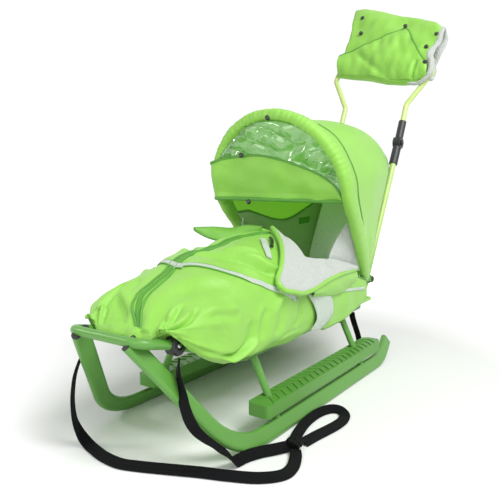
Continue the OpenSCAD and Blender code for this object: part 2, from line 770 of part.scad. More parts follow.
module hood_cover() {
    arch_n = 16;
    deep_n = 8;
    swell = 34;
    function skin(t, v, inset) =
        let (f = rim_point(t * 0.96), b = back_arch(t * 0.96, back_half_w + 8),
             along = unit(rim_point(t * 0.96 + 0.01) - rim_point(max(0, t * 0.96 - 0.01))),
             away = unit(b - f - ((b - f) * along) * along),
             near = f + away * (rim_r + 1), p = near + (b - near) * v,
             r = 4 * v * (1 - v) * swell - inset,
             top = t < 0.5 ? cos(180 * t) : 0, side = t < 0.5 ? sin(180 * t) : 1)
        [p[0], p[1] + r * side, p[2] + r * top];
    function grid(inset) = [for (i = [-arch_n : arch_n]) [for (j = [0 : deep_n])
        let (p = skin(abs(i) / arch_n, j / deep_n, inset)) [p[0], (i < 0 ? -1 : 1) * p[1], p[2]]]];
    color(cloth_green) centred() sheet(grid(0), grid(cover_t));
}

// Straps: columns are x, y, z and the heading of the webbing's width, in degrees from X
// On the left side y is counted outboard of the runner's middle plane, at that height
tow_left_route = [
    [618, 30, 231, 0], [628, 24, 207, 5], [630, 20, 176, 10], [630, 22, 152, 15], [626, 25, 124, 20],
    [613, 21, 93, 28], [598, 20, 66, 36], [580, 16, 42, 46], [562, -4, 16, 60], [536, -2, 6, 70],
    [506, 8, 5, 66], [475, 24, 5, 62], [448, 42, 5, 64], [425, 55, 5, 70]];
loop_route = [
    [400, 58, 6, 98], [372, 53, 8, 104], [335, 40, 5, 110], [290, 29, 5, 106], [250, 25, 5, 92],
    [214, 28, 5, 72], [186, 40, 5, 42], [178, 58, 5, 0], [194, 77, 5, -52], [230, 89, 5, -80],
    [270, 91, 5, -90], [310, 88, 5, -95], [350, 82, 5, -98], [385, 75, 5, -100]];
// On the right side y is a share of half the track, from the middle of the sled
tow_right_route = [
    [626, -0.61, 240, 20], [650, -0.64, 208, 15], [668, -0.665, 168, 10], [676, -0.67, 130, 5],
    [677, -0.675, 97, 0], [673, -0.675, 62, -5], [662, -0.66, 30, -10], [655, -0.6, 10, -12],
    [664, -0.42, 5, -10], [674, -0.22, 5, -6], [677, 0.03, 5, 4], [664, 0.25, 5, 16], [639, 0.55, 5, 24],
    [614, 0.84, 5, 26], [593, 1.12, 5, 30], [567, 1.39, 5, 45], [531, 1.55, 5, 68], [492, 1.55, 5, 92],
    [448, 1.46, 5, 108], [427, 1.39, 8, 110]];
rear_route = [[-182, 0, 164, 90], [-186, 2, 146, 90], [-196, 4, 124, 90], [-208, 6, 102, 90],
              [-220, 7, 80, 90], [-228, 8, 58, 90]];

function outboard(route) = [for (r = route) [r[0], plane_y(plane_v(r[2])) + r[1], r[2], r[3]]];
function across(route) = [for (r = route) [r[0], r[1] * track / 2, r[2], r[3]]];

module webbing(route, w) {
    points = [for (r = route) [r[0], r[1], r[2]]];
    color(black) centred() swept(points, [for (r = route) [cos(r[3]), sin(r[3]), 0]],
                                 [for (r = route) w], [for (r = route) web_t], 8);
}

module rear_strap(s) {
    on_side(s) webbing([for (r = rear_route) [r[0], r[1] + rail_y, r[2], r[3]]], web_rear_w);
}

runner(1);  // runner_left
runner(-1);  // runner_right
runner_plug(1);  // runner_plug_left
runner_plug(-1);  // runner_plug_right
front_bar();
hub(1);  // hub_left
hub(-1);  // hub_right
leg(1, leg_front_x);  // leg_front_left
leg(-1, leg_front_x);  // leg_front_right
leg(1, leg_rear_x);  // leg_rear_left
leg(-1, leg_rear_x);  // leg_rear_right
rail(1);  // rail_left
rail(-1);  // rail_right
cross_tube(leg_front_x - cross_inset);  // cross_tube_front
cross_tube(leg_rear_x + cross_inset);  // cross_tube_rear
footrest(1);  // footrest_left
footrest(-1);  // footrest_right
seat_tube(1);  // seat_tube_left
seat_tube(-1);  // seat_tube_right
clamp(1);  // clamp_left
clamp(-1);  // clamp_right
seat_board();
foot_board();
back_board();
back_pad();
bag_panel(90);  // bag_cover
bag_panel(0);  // bag_wall_left
bag_panel(180);  // bag_wall_right
bag_panel(270);  // bag_floor
bag_toe();
side_panel(1);  // side_panel_left
side_panel(-1);  // side_panel_right
knuckle_lower(1);  // knuckle_lower_left
knuckle_lower(-1);  // knuckle_lower_right
knuckle_upper(1);  // knuckle_upper_left
knuckle_upper(-1);  // knuckle_upper_right
handle_tube();
muff();
hood_clip(1);  // hood_clip_left
hood_clip(-1);  // hood_clip_right
hood_arm(1);  // hood_arm_left
hood_arm(-1);  // hood_arm_right
hood_rim();
hood_visor();
hood_cover();
webbing(outboard(tow_left_route), web_w);  // tow_strap_left
webbing(across(tow_right_route), web_w);  // tow_strap_right
webbing(outboard(loop_route), web_w);  // hand_loop
rear_strap(1);  // rear_strap_left
rear_strap(-1);  // rear_strap_right
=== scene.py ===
import math

import bmesh
import bpy
import numpy as np
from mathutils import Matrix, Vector


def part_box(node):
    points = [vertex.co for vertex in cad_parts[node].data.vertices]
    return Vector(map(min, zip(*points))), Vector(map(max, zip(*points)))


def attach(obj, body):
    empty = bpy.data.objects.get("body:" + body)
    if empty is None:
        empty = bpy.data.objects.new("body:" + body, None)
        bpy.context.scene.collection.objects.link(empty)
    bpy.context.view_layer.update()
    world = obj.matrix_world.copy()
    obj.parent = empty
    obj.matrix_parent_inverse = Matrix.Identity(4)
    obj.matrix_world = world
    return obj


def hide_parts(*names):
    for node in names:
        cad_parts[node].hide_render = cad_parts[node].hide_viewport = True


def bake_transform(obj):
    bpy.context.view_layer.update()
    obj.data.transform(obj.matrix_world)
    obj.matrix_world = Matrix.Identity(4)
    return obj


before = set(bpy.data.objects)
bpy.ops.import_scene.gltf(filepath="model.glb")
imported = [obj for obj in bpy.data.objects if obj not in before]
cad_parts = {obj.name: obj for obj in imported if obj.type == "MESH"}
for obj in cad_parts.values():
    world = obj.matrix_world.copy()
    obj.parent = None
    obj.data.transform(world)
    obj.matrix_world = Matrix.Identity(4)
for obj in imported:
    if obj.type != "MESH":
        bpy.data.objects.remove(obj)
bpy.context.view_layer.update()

# Places are in the sled's own measure: millimetres, x forward from the seat, y left, z up from the floor
hubX = 608
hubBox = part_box("hub_left")
shiftX = (hubBox[0].x + hubBox[1].x) * 500 - hubX
sides = (("Left", 1), ("Right", -1))


def place(points):
    # From that measure to metres in the frame
    return (np.asarray(points, float) + [shiftX, 0, 0]) / 1000


def ease(x, low, high):
    # 0 below low, 1 above high, smooth between them
    t = np.clip((x - low) / (high - low), 0, 1)
    return t * t * (3 - 2 * t)


def boxy(x, power):
    # Power of the size with the sign kept; below 1 it squares off a sine or a cosine
    return np.sign(x) * np.abs(x) ** power


def ripples(u, v, seed, waves, low, high, turn=(0, math.pi)):
    # Sum of sine waves of seeded headings, each with a wave length between low and high
    rng = np.random.default_rng(seed)
    total = 0
    for _ in range(waves):
        heading = rng.uniform(*turn)
        length = rng.uniform(low, high)
        along = (u * math.cos(heading) + v * math.sin(heading)) / length
        total = total + np.sin(2 * math.pi * along + rng.uniform(0, 2 * math.pi))
    return total / math.sqrt(waves)


def smooth(points, count, fine=24):
    # Catmull-Rom curve through the points, resampled to even steps along its length
    points = np.asarray(points, float)
    longer = np.vstack([2 * points[0] - points[1], points, 2 * points[-1] - points[-2]])
    spans = len(points) - 1
    t = np.linspace(0, spans, spans * fine + 1)
    i = np.minimum(t.astype(int), spans - 1)
    f = (t - i)[:, None]
    a, b, c, d = longer[i], longer[i + 1], longer[i + 2], longer[i + 3]
    curve = 0.5 * (2 * b + (c - a) * f + (2 * a - 5 * b + 4 * c - d) * f**2 + (3 * b - a - 3 * c + d) * f**3)
    run = np.r_[0, np.cumsum(np.linalg.norm(np.diff(curve[:, :3], axis=0), axis=1))]
    want = np.linspace(0, run[-1], count)
    return np.stack([np.interp(want, run, column) for column in curve.T], 1)


def lookUp(table, x):
    # Straight lines between the rows (x, value) of a table
    return np.interp(x, table[:, 0], table[:, 1])


def unit(vectors):
    # Each vector divided by its own length
    return vectors / np.maximum(np.linalg.norm(vectors, axis=-1, keepdims=True), 1e-12)


def gridMesh(name, points, material, around=False, capped=False):
    # Rows and columns of points joined by quads, with lengths in metres as the texture coordinates
    rows, columns = points.shape[:2]
    index = np.arange(rows * columns).reshape(rows, columns)
    wide = np.concatenate([points, points[:, :1]], 1) if around else points
    if around:
        index = np.hstack([index, index[:, :1]])
    corners = ((0, 0), (1, 0), (1, 1), (0, 1))
    cells = (index.shape[0] - 1, index.shape[1] - 1)
    quads = np.stack([index[a:a + cells[0], b:b + cells[1]] for a, b in corners], -1).reshape(-1, 4)
    runU = np.r_[0, np.cumsum(np.linalg.norm(np.diff(wide, axis=0), axis=2).mean(1))]
    runV = np.r_[0, np.cumsum(np.linalg.norm(np.diff(wide, axis=1), axis=2).mean(0))]
    gridU, gridV = np.meshgrid(runU, runV, indexing="ij")
    flat = np.stack([gridU, gridV], -1)
    uv = np.stack([flat[a:a + cells[0], b:b + cells[1]] for a, b in corners], -2).reshape(-1, 2)
    faces = quads.tolist()
    if capped:
        last = (rows - 1) * columns
        faces += [list(range(columns))[::-1], list(range(last, last + columns))]
        uv = np.vstack([uv, np.zeros((2 * columns, 2))])
    mesh = bpy.data.meshes.new(name)
    mesh.from_pydata(points.reshape(-1, 3).tolist(), [], faces)
    mesh.uv_layers.new(name="UVMap").data.foreach_set("uv", uv.astype(np.float32).ravel())
    mesh.polygons.foreach_set("use_smooth", np.ones(len(mesh.polygons), bool))
    mesh.materials.append(material)
    piece = bpy.data.objects.new(name, mesh)
    bpy.context.scene.collection.objects.link(piece)
    return piece


def sweepPoints(path, side, width, height, corners, power):
    # Rings of rounded oblongs along a path: width along side, height across it
    path = np.asarray(path, float)
    tangent = unit(np.gradient(path, axis=0))
    side = np.broadcast_to(np.asarray(side, float), path.shape)
    side = unit(side - (side * tangent).sum(1, keepdims=True) * tangent)
    across = np.cross(side, tangent)
    a = np.linspace(0, 2 * math.pi, corners, endpoint=False)
    w = np.broadcast_to(width, len(path))[:, None, None] / 2
    h = np.broadcast_to(height, len(path))[:, None, None] / 2
    c, s = boxy(np.cos(a), power)[None, :, None], boxy(np.sin(a), power)[None, :, None]
    return path[:, None] + w * c * side[:, None] + h * s * across[:, None]


def sweep(name, path, side, width, height, material, corners=12, power=1.0):
    # The same rings as a closed mesh with both ends capped
    return gridMesh(name, sweepPoints(path, side, width, height, corners, power), material, around=True,
                    capped=True)


def trimMesh(name, line, side, width, height, material, corners=10, power=1.0):
    # A binding or a piping along a line, all in millimetres
    return sweep(name, place(line), side, width / 1000, height / 1000, material, corners, power)


def settle(piece):
    # Applies the modifiers to the mesh
    graph = bpy.context.evaluated_depsgraph_get()
    mesh = bpy.data.meshes.new_from_object(piece.evaluated_get(graph), depsgraph=graph)
    piece.modifiers.clear()
    piece.data = mesh
    return piece


def faceOut(piece):
    # Turns every face of a shell outwards
    work = bmesh.new()
    work.from_mesh(piece.data)
    bmesh.ops.recalc_face_normals(work, faces=work.faces)
    work.to_mesh(piece.data)
    work.free()
    return piece


def thicken(piece, thickness, offset=0.0, rounds=0):
    # Gives a wall, half on each side at offset 0 and inwards at -1, rounded by levels of subdivision
    solid = piece.modifiers.new("thickness", "SOLIDIFY")
    solid.thickness = thickness
    solid.offset = offset
    if rounds:
        piece.modifiers.new("rounds", "SUBSURF").levels = rounds
    return settle(piece)


def clothMesh(name, points, material, thickness, rounds=0):
    # A grid of points as cloth, half of its thickness on each side, all in millimetres
    return thicken(gridMesh(name, place(points), material), thickness / 1000, 0, rounds)


def vertexPlaces(mesh):
    # Places of all vertices as one array
    places = np.empty(3 * len(mesh.vertices), np.float32)
    mesh.vertices.foreach_get("co", places)
    return places.reshape(-1, 3).astype(float)


def puff(piece, cap, pressure=4.0, frames=20):
    # A short cloth run with pressure inside, in which no point moves further than cap
    scene = bpy.context.scene
    start = vertexPlaces(piece.data)
    cloth = piece.modifiers.new("puff", "CLOTH")
    cloth.settings.use_pressure = True
    cloth.settings.uniform_pressure_force = pressure
    cloth.settings.effector_weights.gravity = 0
    cloth.settings.quality = 4
    cloth.point_cache.frame_start = 1
    cloth.point_cache.frame_end = frames
    for step in range(1, frames + 1):
        scene.frame_set(step)
    graph = bpy.context.evaluated_depsgraph_get()
    move = vertexPlaces(piece.evaluated_get(graph).to_mesh()) - start
    far = np.linalg.norm(move, axis=1, keepdims=True)
    move *= np.minimum(1, cap / np.maximum(far, 1e-9))
    piece.modifiers.remove(cloth)
    piece.data.vertices.foreach_set("co", (start + move).astype(np.float32).ravel())
    piece.data.update()
    scene.frame_set(1)


def finishPiece(piece, body, slotName, *nodes):
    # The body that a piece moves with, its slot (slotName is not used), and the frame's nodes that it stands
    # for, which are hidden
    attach(piece, body)
    if nodes:
        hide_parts(*nodes)


print("camera")
cameraAt = {"position": (1473.3, 870.6, 597.0), "yaw": -145.637, "pitch": -7.668, "lens": 43.16,
            "sensor": 36}
yaw, pitch = math.radians(cameraAt["yaw"]), math.radians(cameraAt["pitch"])
aim = Vector((math.cos(yaw) * math.cos(pitch), math.sin(yaw) * math.cos(pitch), math.sin(pitch)))
camera = bpy.data.objects.new("camera", bpy.data.cameras.new("camera"))
camera.location = place(cameraAt["position"])
camera.rotation_euler = aim.to_track_quat("-Z", "Y").to_euler()
camera.data.lens = cameraAt["lens"]
camera.data.sensor_width = cameraAt["sensor"]
bpy.context.scene.collection.objects.link(camera)
bpy.context.scene.camera = camera

print("materials")


def newGroup(name, inputs, outputs):
    # An empty node group with its sockets
    group = bpy.data.node_groups.new(name, "ShaderNodeTree")
    for label, kind, value in inputs:
        group.interface.new_socket(label, in_out="INPUT", socket_type=kind).default_value = value
    for label, kind in outputs:
        group.interface.new_socket(label, in_out="OUTPUT", socket_type=kind)
    return group, group.nodes.new("NodeGroupInput"), group.nodes.new("NodeGroupOutput")


def addNode(tree, kind, links=(), **values):
    # Values set inputs by name, with an underscore for each space; links join inputs to other nodes
    node = tree.nodes.new(kind)
    for key, value in values.items():
        node.inputs[key.replace("_", " ")].default_value = value
    for key, source in dict(links).items():
        tree.links.new(source, node.inputs[key])
    return node


def noise(tree, vector, scale, detail, roughness=0.5, distortion=0.0):
    # Value of a noise texture at a vector
    node = addNode(tree, "ShaderNodeTexNoise", {"Vector": vector}, Scale=scale, Detail=detail,
                   Roughness=roughness, Distortion=distortion)
    return node.outputs[0]


def maths(tree, operation, a, b=0.0):
    # One math node, whose a and b are numbers or sockets
    node = tree.nodes.new("ShaderNodeMath")
    node.operation = operation
    for socket, value in zip(node.inputs, (a, b)):
        if hasattr(value, "is_output"):
            tree.links.new(value, socket)
        else:
            socket.default_value = value
    return node.outputs[0]


def bump(tree, height, strength, distance, normal=None):
    # Normal that follows a height, on top of another normal where one is given
    node = addNode(tree, "ShaderNodeBump", {"Height": height}, Strength=strength, Distance=distance)
    if normal is not None:
        tree.links.new(normal, node.inputs["Normal"])
    return node.outputs[0]


colourOut = (("Colour", "NodeSocketColor"), ("Roughness", "NodeSocketFloat"), ("Normal", "NodeSocketVector"))


def clothGroup():
    # Plain weave: threads are sines of the two lengths along the cloth; creases are folded noise
    inputs = (("Colour", "NodeSocketColor", (0.5, 0.5, 0.5, 1)), ("Thread", "NodeSocketFloat", 0.0016),
              ("Crease", "NodeSocketFloat", 0.5))
    group, into, out = newGroup("clothLook", inputs, colourOut)
    coords = group.nodes.new("ShaderNodeTexCoord")
    uv = addNode(group, "ShaderNodeSeparateXYZ", {0: coords.outputs["UV"]})
    turn = maths(group, "DIVIDE", 2 * math.pi, into.outputs["Thread"])
    warp = maths(group, "SINE", maths(group, "MULTIPLY", uv.outputs[0], turn))
    weft = maths(group, "SINE", maths(group, "MULTIPLY", uv.outputs[1], turn))
    weave = maths(group, "MULTIPLY", warp, weft)
    fold = noise(group, coords.outputs["Object"], 16, 4, 0.55, 0.9)
    crease = maths(group, "ABSOLUTE", maths(group, "SUBTRACT", fold, 0.5))
    tone = noise(group, coords.outputs["Object"], 5, 3)
    # The weave lightens and darkens the colour a little along the threads: painted light and shade; the tone
    # noise is uneven colour of the cloth itself
    shade = maths(group, "ADD", maths(group, "MULTIPLY", weave, 0.04),
                  maths(group, "MULTIPLY", maths(group, "SUBTRACT", tone, 0.5), 0.3))
    hsv = addNode(group, "ShaderNodeHueSaturation",
                  {"Color": into.outputs["Colour"], "Value": maths(group, "ADD", shade, 1.0)})
    creased = bump(group, crease, 1.0, 0.004)
    group.links.new(into.outputs["Crease"], creased.node.inputs["Strength"])
    normal = bump(group, weave, 0.25, 0.0003, creased)
    group.links.new(hsv.outputs[0], out.inputs["Colour"])
    group.links.new(maths(group, "ADD", maths(group, "MULTIPLY", tone, 0.2), 0.36), out.inputs["Roughness"])
    group.links.new(normal, out.inputs["Normal"])
    return group


def pileGroup():
    # Fleece: tufts of two sizes, darker between the tufts as painted shade in the hollows
    inputs = (("Colour", "NodeSocketColor", (0.9, 0.9, 0.9, 1)), ("Tuft", "NodeSocketFloat", 160.0))
    group, into, out = newGroup("pileLook", inputs, colourOut)
    coords = group.nodes.new("ShaderNodeTexCoord")
    coarse = noise(group, coords.outputs["Object"], 1, 5, 0.6, 0.4)
    group.links.new(into.outputs["Tuft"], coarse.node.inputs["Scale"])
    fine = noise(group, coords.outputs["Object"], 700, 3)
    height = maths(group, "ADD", coarse, maths(group, "MULTIPLY", fine, 0.4))
    # The colour darkens with the same noise that lowers the tufts: painted shade between them
    shade = maths(group, "ADD", maths(group, "MULTIPLY", coarse, 0.34), 0.8)
    hsv = addNode(group, "ShaderNodeHueSaturation", {"Color": into.outputs["Colour"], "Value": shade})
    group.links.new(hsv.outputs[0], out.inputs["Colour"])
    group.links.new(maths(group, "ADD", maths(group, "MULTIPLY", fine, 0.1), 0.85), out.inputs["Roughness"])
    group.links.new(bump(group, height, 0.8, 0.004), out.inputs["Normal"])
    return group


def coatGroup():
    # Paint and mouldings: a faint orange peel and a little unevenness in tone and gloss
    inputs = (("Colour", "NodeSocketColor", (0.5, 0.5, 0.5, 1)), ("Grain", "NodeSocketFloat", 600.0),
              ("Relief", "NodeSocketFloat", 0.1), ("Gloss", "NodeSocketFloat", 0.4))
    group, into, out = newGroup("coatLook", inputs, colourOut)
    coords = group.nodes.new("ShaderNodeTexCoord")
    grain = noise(group, coords.outputs["Object"], 1, 2)
    group.links.new(into.outputs["Grain"], grain.node.inputs["Scale"])
    tone = noise(group, coords.outputs["Object"], 9, 4)
    offset = maths(group, "SUBTRACT", tone, 0.5)
    hsv = addNode(group, "ShaderNodeHueSaturation", {
        "Color": into.outputs["Colour"],
        "Value": maths(group, "ADD", maths(group, "MULTIPLY", offset, 0.16), 1.0)})
    relief = bump(group, grain, 1.0, 0.0006)
    group.links.new(into.outputs["Relief"], relief.node.inputs["Strength"])
    group.links.new(hsv.outputs[0], out.inputs["Colour"])
    group.links.new(maths(group, "ADD", maths(group, "MULTIPLY", offset, 0.2), into.outputs["Gloss"]),
                    out.inputs["Roughness"])
    group.links.new(relief, out.inputs["Normal"])
    return group


def ribGroup():
    # Webbing and tapes: ribs across the length, bent to a zigzag over the width; the colour is lighter on
    # the ribs and darker between them, as painted light and shade
    inputs = (("Colour", "NodeSocketColor", (0.02, 0.02, 0.02, 1)), ("Pitch", "NodeSocketFloat", 0.0022))
    group, into, out = newGroup("ribLook", inputs, colourOut)
    coords = group.nodes.new("ShaderNodeTexCoord")
    uv = addNode(group, "ShaderNodeSeparateXYZ", {0: coords.outputs["UV"]})
    turn = maths(group, "DIVIDE", 2 * math.pi, into.outputs["Pitch"])
    zigzag = maths(group, "PINGPONG", uv.outputs[1], 0.0045)
    ribs = maths(group, "SINE", maths(group, "MULTIPLY", maths(group, "ADD", uv.outputs[0], zigzag), turn))
    hsv = addNode(group, "ShaderNodeHueSaturation", {
        "Color": into.outputs["Colour"],
        "Value": maths(group, "ADD", maths(group, "MULTIPLY", ribs, 0.3), 1.0)})
    group.links.new(hsv.outputs[0], out.inputs["Colour"])
    group.links.new(maths(group, "ADD", maths(group, "MULTIPLY", ribs, 0.05), 0.7), out.inputs["Roughness"])
    group.links.new(bump(group, ribs, 0.6, 0.0006), out.inputs["Normal"])
    return group


looks = {"cloth": clothGroup(), "pile": pileGroup(), "coat": coatGroup(), "rib": ribGroup()}


def makeMaterial(name, look, colour, sheen=0.0, extra=(), **values):
    # A plain shader fed by one of the looks; values go to the look, extra to the shader
    material = bpy.data.materials.new(name)
    material.use_nodes = True
    tree = material.node_tree
    shader = tree.nodes["Principled BSDF"]
    group = tree.nodes.new("ShaderNodeGroup")
    group.node_tree = looks[look]
    group.inputs["Colour"].default_value = (*colour, 1)
    for key, value in values.items():
        group.inputs[key].default_value = value
    tree.links.new(group.outputs["Colour"], shader.inputs["Base Color"])
    tree.links.new(group.outputs["Roughness"], shader.inputs["Roughness"])
    tree.links.new(group.outputs["Normal"], shader.inputs["Normal"])
    shader.inputs["Sheen Weight"].default_value = sheen
    for key, value in dict(extra).items():
        shader.inputs[key].default_value = value
    return material


nylon = makeMaterial("greenNylon", "cloth", (0.27, 0.60, 0.075), 0.1, Thread=0.0016, Crease=0.8)
# The lining is brighter than the outer nylon and glows faintly: painted light, standing in for the daylight
# that comes through the cover
nylonInsideGlow = makeMaterial("greenLiningGlow", "cloth", (0.30, 0.74, 0.07), 0.1, Thread=0.0016, Crease=0.2,
                           extra={"Emission Color": (0.30, 0.62, 0.05, 1), "Emission Strength": 0.22})
# Darker copy of the green nylon for the far flap: painted shade
nylonPaintedShade = makeMaterial("greenPaintedShade", "cloth", (0.17, 0.43, 0.05), 0.1, Thread=0.0016, Crease=0.8)
nylonDeep = makeMaterial("greenBinding", "cloth", (0.09, 0.31, 0.03), 0.1, Thread=0.0016, Crease=0.2)
fleece = makeMaterial("whiteFleece", "pile", (0.56, 0.60, 0.56), 0.4, Tuft=160.0)
# Lighter copy of the fleece for the back pad inside the hood: painted light
paintedLightFleece = makeMaterial("paintedLightFleece", "pile", (0.82, 0.87, 0.82), 0.5, Tuft=160.0)
# Darker, greener copy of the fleece for the hood's side walls: painted shade with painted green bounce light
paintedShadeFleece = makeMaterial("paintedShadeFleece", "pile", (0.42, 0.62, 0.30), 0.2, Tuft=200.0)
lining = makeMaterial("greyFleece", "pile", (0.66, 0.76, 0.66), 0.4, Tuft=200.0)
framePaint = makeMaterial("greenPaint", "coat", (0.105, 0.31, 0.045), Grain=500.0, Relief=0.1, Gloss=0.34)
handlePaint = makeMaterial("handlePaint", "coat", (0.56, 0.70, 0.24), Grain=500.0, Relief=0.1, Gloss=0.32)
greenPlastic = makeMaterial("greenPlastic", "coat", (0.10, 0.30, 0.04), Grain=900.0, Relief=0.3, Gloss=0.45)
blackPlastic = makeMaterial("blackPlastic", "coat", (0.014, 0.014, 0.016), Grain=1400.0, Relief=0.3,
                            Gloss=0.42)
snapMetal = makeMaterial("snapMetal", "coat", (0.02, 0.025, 0.02), Grain=900.0, Relief=0.1, Gloss=0.25)
screwMetal = makeMaterial("screwMetal", "coat", (0.5, 0.5, 0.52), extra={"Metallic": 1.0}, Grain=900.0,
                          Gloss=0.3)
webbing = makeMaterial("blackWebbing", "rib", (0.004, 0.004, 0.005), extra={"Specular IOR Level": 0.12},
                       Pitch=0.0024)
silver = makeMaterial("silverTrim", "rib", (0.60, 0.70, 0.60), 0.0, Pitch=0.0016)
tape = makeMaterial("zipTape", "rib", (0.11, 0.36, 0.035), 0.0, Pitch=0.003)
film = makeMaterial("clearFilm", "coat", (0.72, 0.97, 0.62), Grain=60.0, Relief=0.5, Gloss=0.06, extra={
    "Transmission Weight": 0.88, "IOR": 1.6, "Specular IOR Level": 1.0})
tubePaint = makeMaterial("tubePaint", "coat", (0.4, 0.6, 0.2), Grain=500.0, Relief=0.1, Gloss=0.34)


def fadeUp(material, low, high, lowColour, highColour):
    # Colour that changes with height, from lowColour at low to highColour at high
    tree = material.node_tree
    group = next(node for node in tree.nodes if node.type == "GROUP")
    coords = tree.nodes.new("ShaderNodeTexCoord")
    height = addNode(tree, "ShaderNodeSeparateXYZ", {0: coords.outputs["Object"]}).outputs[2]
    share = addNode(tree, "ShaderNodeMapRange", {"Value": height}, From_Min=low, From_Max=high)
    ramp = tree.nodes.new("ShaderNodeValToRGB")
    ramp.color_ramp.elements[0].color = (*lowColour, 1)
    ramp.color_ramp.elements[1].color = (*highColour, 1)
    tree.links.new(share.outputs["Result"], ramp.inputs["Fac"])
    tree.links.new(ramp.outputs["Color"], group.inputs["Colour"])


tubeFade = {"low": 0.24, "high": 0.44, "lowColour": (0.20, 0.45, 0.10), "highColour": (0.50, 0.68, 0.21)}
fadeUp(tubePaint, **tubeFade)

# Which nodes wear which finish, by the start of their names; a later row wins over an earlier one
finishes = (
    (framePaint, ("runner_", "rail_", "leg_", "cross_tube", "front_bar")),
    (tubePaint, ("seat_tube",)),
    (greenPlastic, ("footrest", "hood_arm")),
    (handlePaint, ("handle_tube",)),
    (blackPlastic, ("runner_plug", "hub_", "clamp_", "knuckle_", "hood_clip")),
    (nylon, ("seat_board", "foot_board", "back_board")),
)
for nodeName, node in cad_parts.items():
    for material, starts in finishes:
        if nodeName.startswith(starts):
            for slot in node.material_slots:
                slot.material = material

print("straps")
track, lean, runnerWidth, railZ = 390, math.radians(25.6), 18, 175
# Widths, thickness, gap to the floor, heights between which a strap comes to lie, and the way that the low
# edge faces where it lies tipped
strapSize = {"tow": 26, "rear": 19, "thickness": 3.4, "floorGap": 0.3, "lying": (10, 50),
             "lowEdge": (0.82, 0.57)}


def outboard(route):
    # y counted outwards from the leaning plane of the left runner
    route = np.array(route, float)
    route[:, 1] += track / 2 - (route[:, 2] - runnerWidth / 2) * math.tan(lean)
    return route


def strap(name, route, node, kind="tow", tip=0):
    # Webbing along a smooth path; the last column is the heading of its width, in degrees.
    # On the floor it leans on its low edge, by up to tip degrees.
    size = strapSize
    path = smooth(route, 12 * len(route))
    heading = np.radians(path[:, 3])
    side = np.stack([np.cos(heading), np.sin(heading), 0 * heading], 1)
    lying = 1 - ease(path[:, 2], *size["lying"])
    tilt = -math.radians(tip) * lying * (side[:, :2] @ size["lowEdge"])
    side = side * np.cos(tilt)[:, None] + np.array([0, 0, 1.0]) * np.sin(tilt)[:, None]
    lowest = size["thickness"] / 2 + size[kind] / 2 * np.abs(np.sin(tilt)) + size["floorGap"]
    path[:, 2] = np.maximum(path[:, 2], lowest)
    line = place(path[:, :3])
    piece = sweep(name, line, side, size[kind] / 1000, size["thickness"] / 1000, webbing, 16, 0.3)
    finishPiece(piece, "sled", "black_webbing", node)
    length = np.linalg.norm(np.diff(line, axis=0), axis=1).sum()
    return piece, line, float(length)


towLeftRoute = outboard([
    [618, 30, 231, 34], [628, 24, 207, 56], [632, 20, 176, 74], [640, 21, 146, 90], [640, 22, 118, 104],
    [630, 22, 96, 112], [612, 22, 76, 114], [590, 20, 56, 108], [570, 14, 34, 98], [552, 6, 15, 84],
    [536, 4, 6, 72], [512, 8, 5, 66], [480, 22, 5, 62], [452, 40, 5, 64], [425, 55, 5, 70]])
loopRoute = outboard([
    [400, 56, 7, 98], [372, 46, 8, 106], [335, 33, 6, 108], [294, 23, 5, 102], [254, 20, 5, 90],
    [216, 24, 5, 72], [188, 37, 5, 42], [179, 57, 5, 0], [192, 77, 5, -50], [224, 88, 5, -78],
    [261, 89, 5, -90], [300, 84, 5, -97], [340, 77, 5, -99], [385, 71, 5, -98]])
towRightRoute = np.array([
    [626, -0.61, 240, 34], [650, -0.64, 208, 34], [668, -0.665, 168, 34], [676, -0.67, 130, 34],
    [677, -0.675, 97, 34], [673, -0.675, 62, 30], [662, -0.66, 30, 14], [655, -0.6, 10, -4],
    [664, -0.42, 5, -10], [674, -0.22, 5, -6], [677, 0.03, 5, 4], [664, 0.25, 5, 16], [639, 0.55, 5, 24],
    [614, 0.84, 5, 26], [593, 1.12, 5, 30], [567, 1.39, 5, 45], [531, 1.55, 5, 68], [492, 1.55, 5, 92],
    [448, 1.46, 5, 108], [427, 1.39, 8, 110]]) * [1, track / 2, 1, 1]
railY = track / 2 - (railZ - runnerWidth / 2) * math.tan(lean)
rearRoute = np.array([[-182, 0, 164, 90], [-186, 2, 146, 90], [-196, 4, 124, 90], [-208, 6, 102, 90],
                      [-220, 7, 80, 90], [-228, 8, 58, 90]], float) + [0, railY, 0, 0]

towLeft, towLeftLine, towLeftLength = strap("towStrapLeft", towLeftRoute, "tow_strap_left", tip=46)
towRight, towRightLine, towRightLength = strap("towStrapRight", towRightRoute, "tow_strap_right", tip=26)
handLoop, loopLine, loopLength = strap("handLoop", loopRoute, "hand_loop", tip=30)
knotSize = {"centre": (412, 258, 13), "half": 18, "rise": 8.5, "long": 14, "turns": 1.3, "band": 20,
            "thick": 3.2}


def knotPoints():
    # The webbing wraps round itself: a short flattened coil about the strap's own line
    a = np.linspace(0, 2 * math.pi * knotSize["turns"], 90)
    x, y, z = knotSize["centre"]
    spread = np.linspace(-0.5, 0.5, len(a)) * knotSize["long"]
    path = np.stack([x + spread, y + knotSize["half"] * np.cos(a), z + knotSize["rise"] * np.sin(a)], 1)
    return sweepPoints(place(path), (1, 0.2, 0), knotSize["band"] / 1000, knotSize["thick"] / 1000, 14, 0.3)


knot = gridMesh("strapKnot", knotPoints(), webbing, around=True, capped=True)
finishPiece(knot, "sled", "black_webbing")
for side, mirrored in sides:
    rear, rearLine, rearLength = strap("rearStrap" + side, rearRoute * [1, mirrored, 1, 1],
                                       "rear_strap_" + side.lower(), "rear")

print("foot bag")
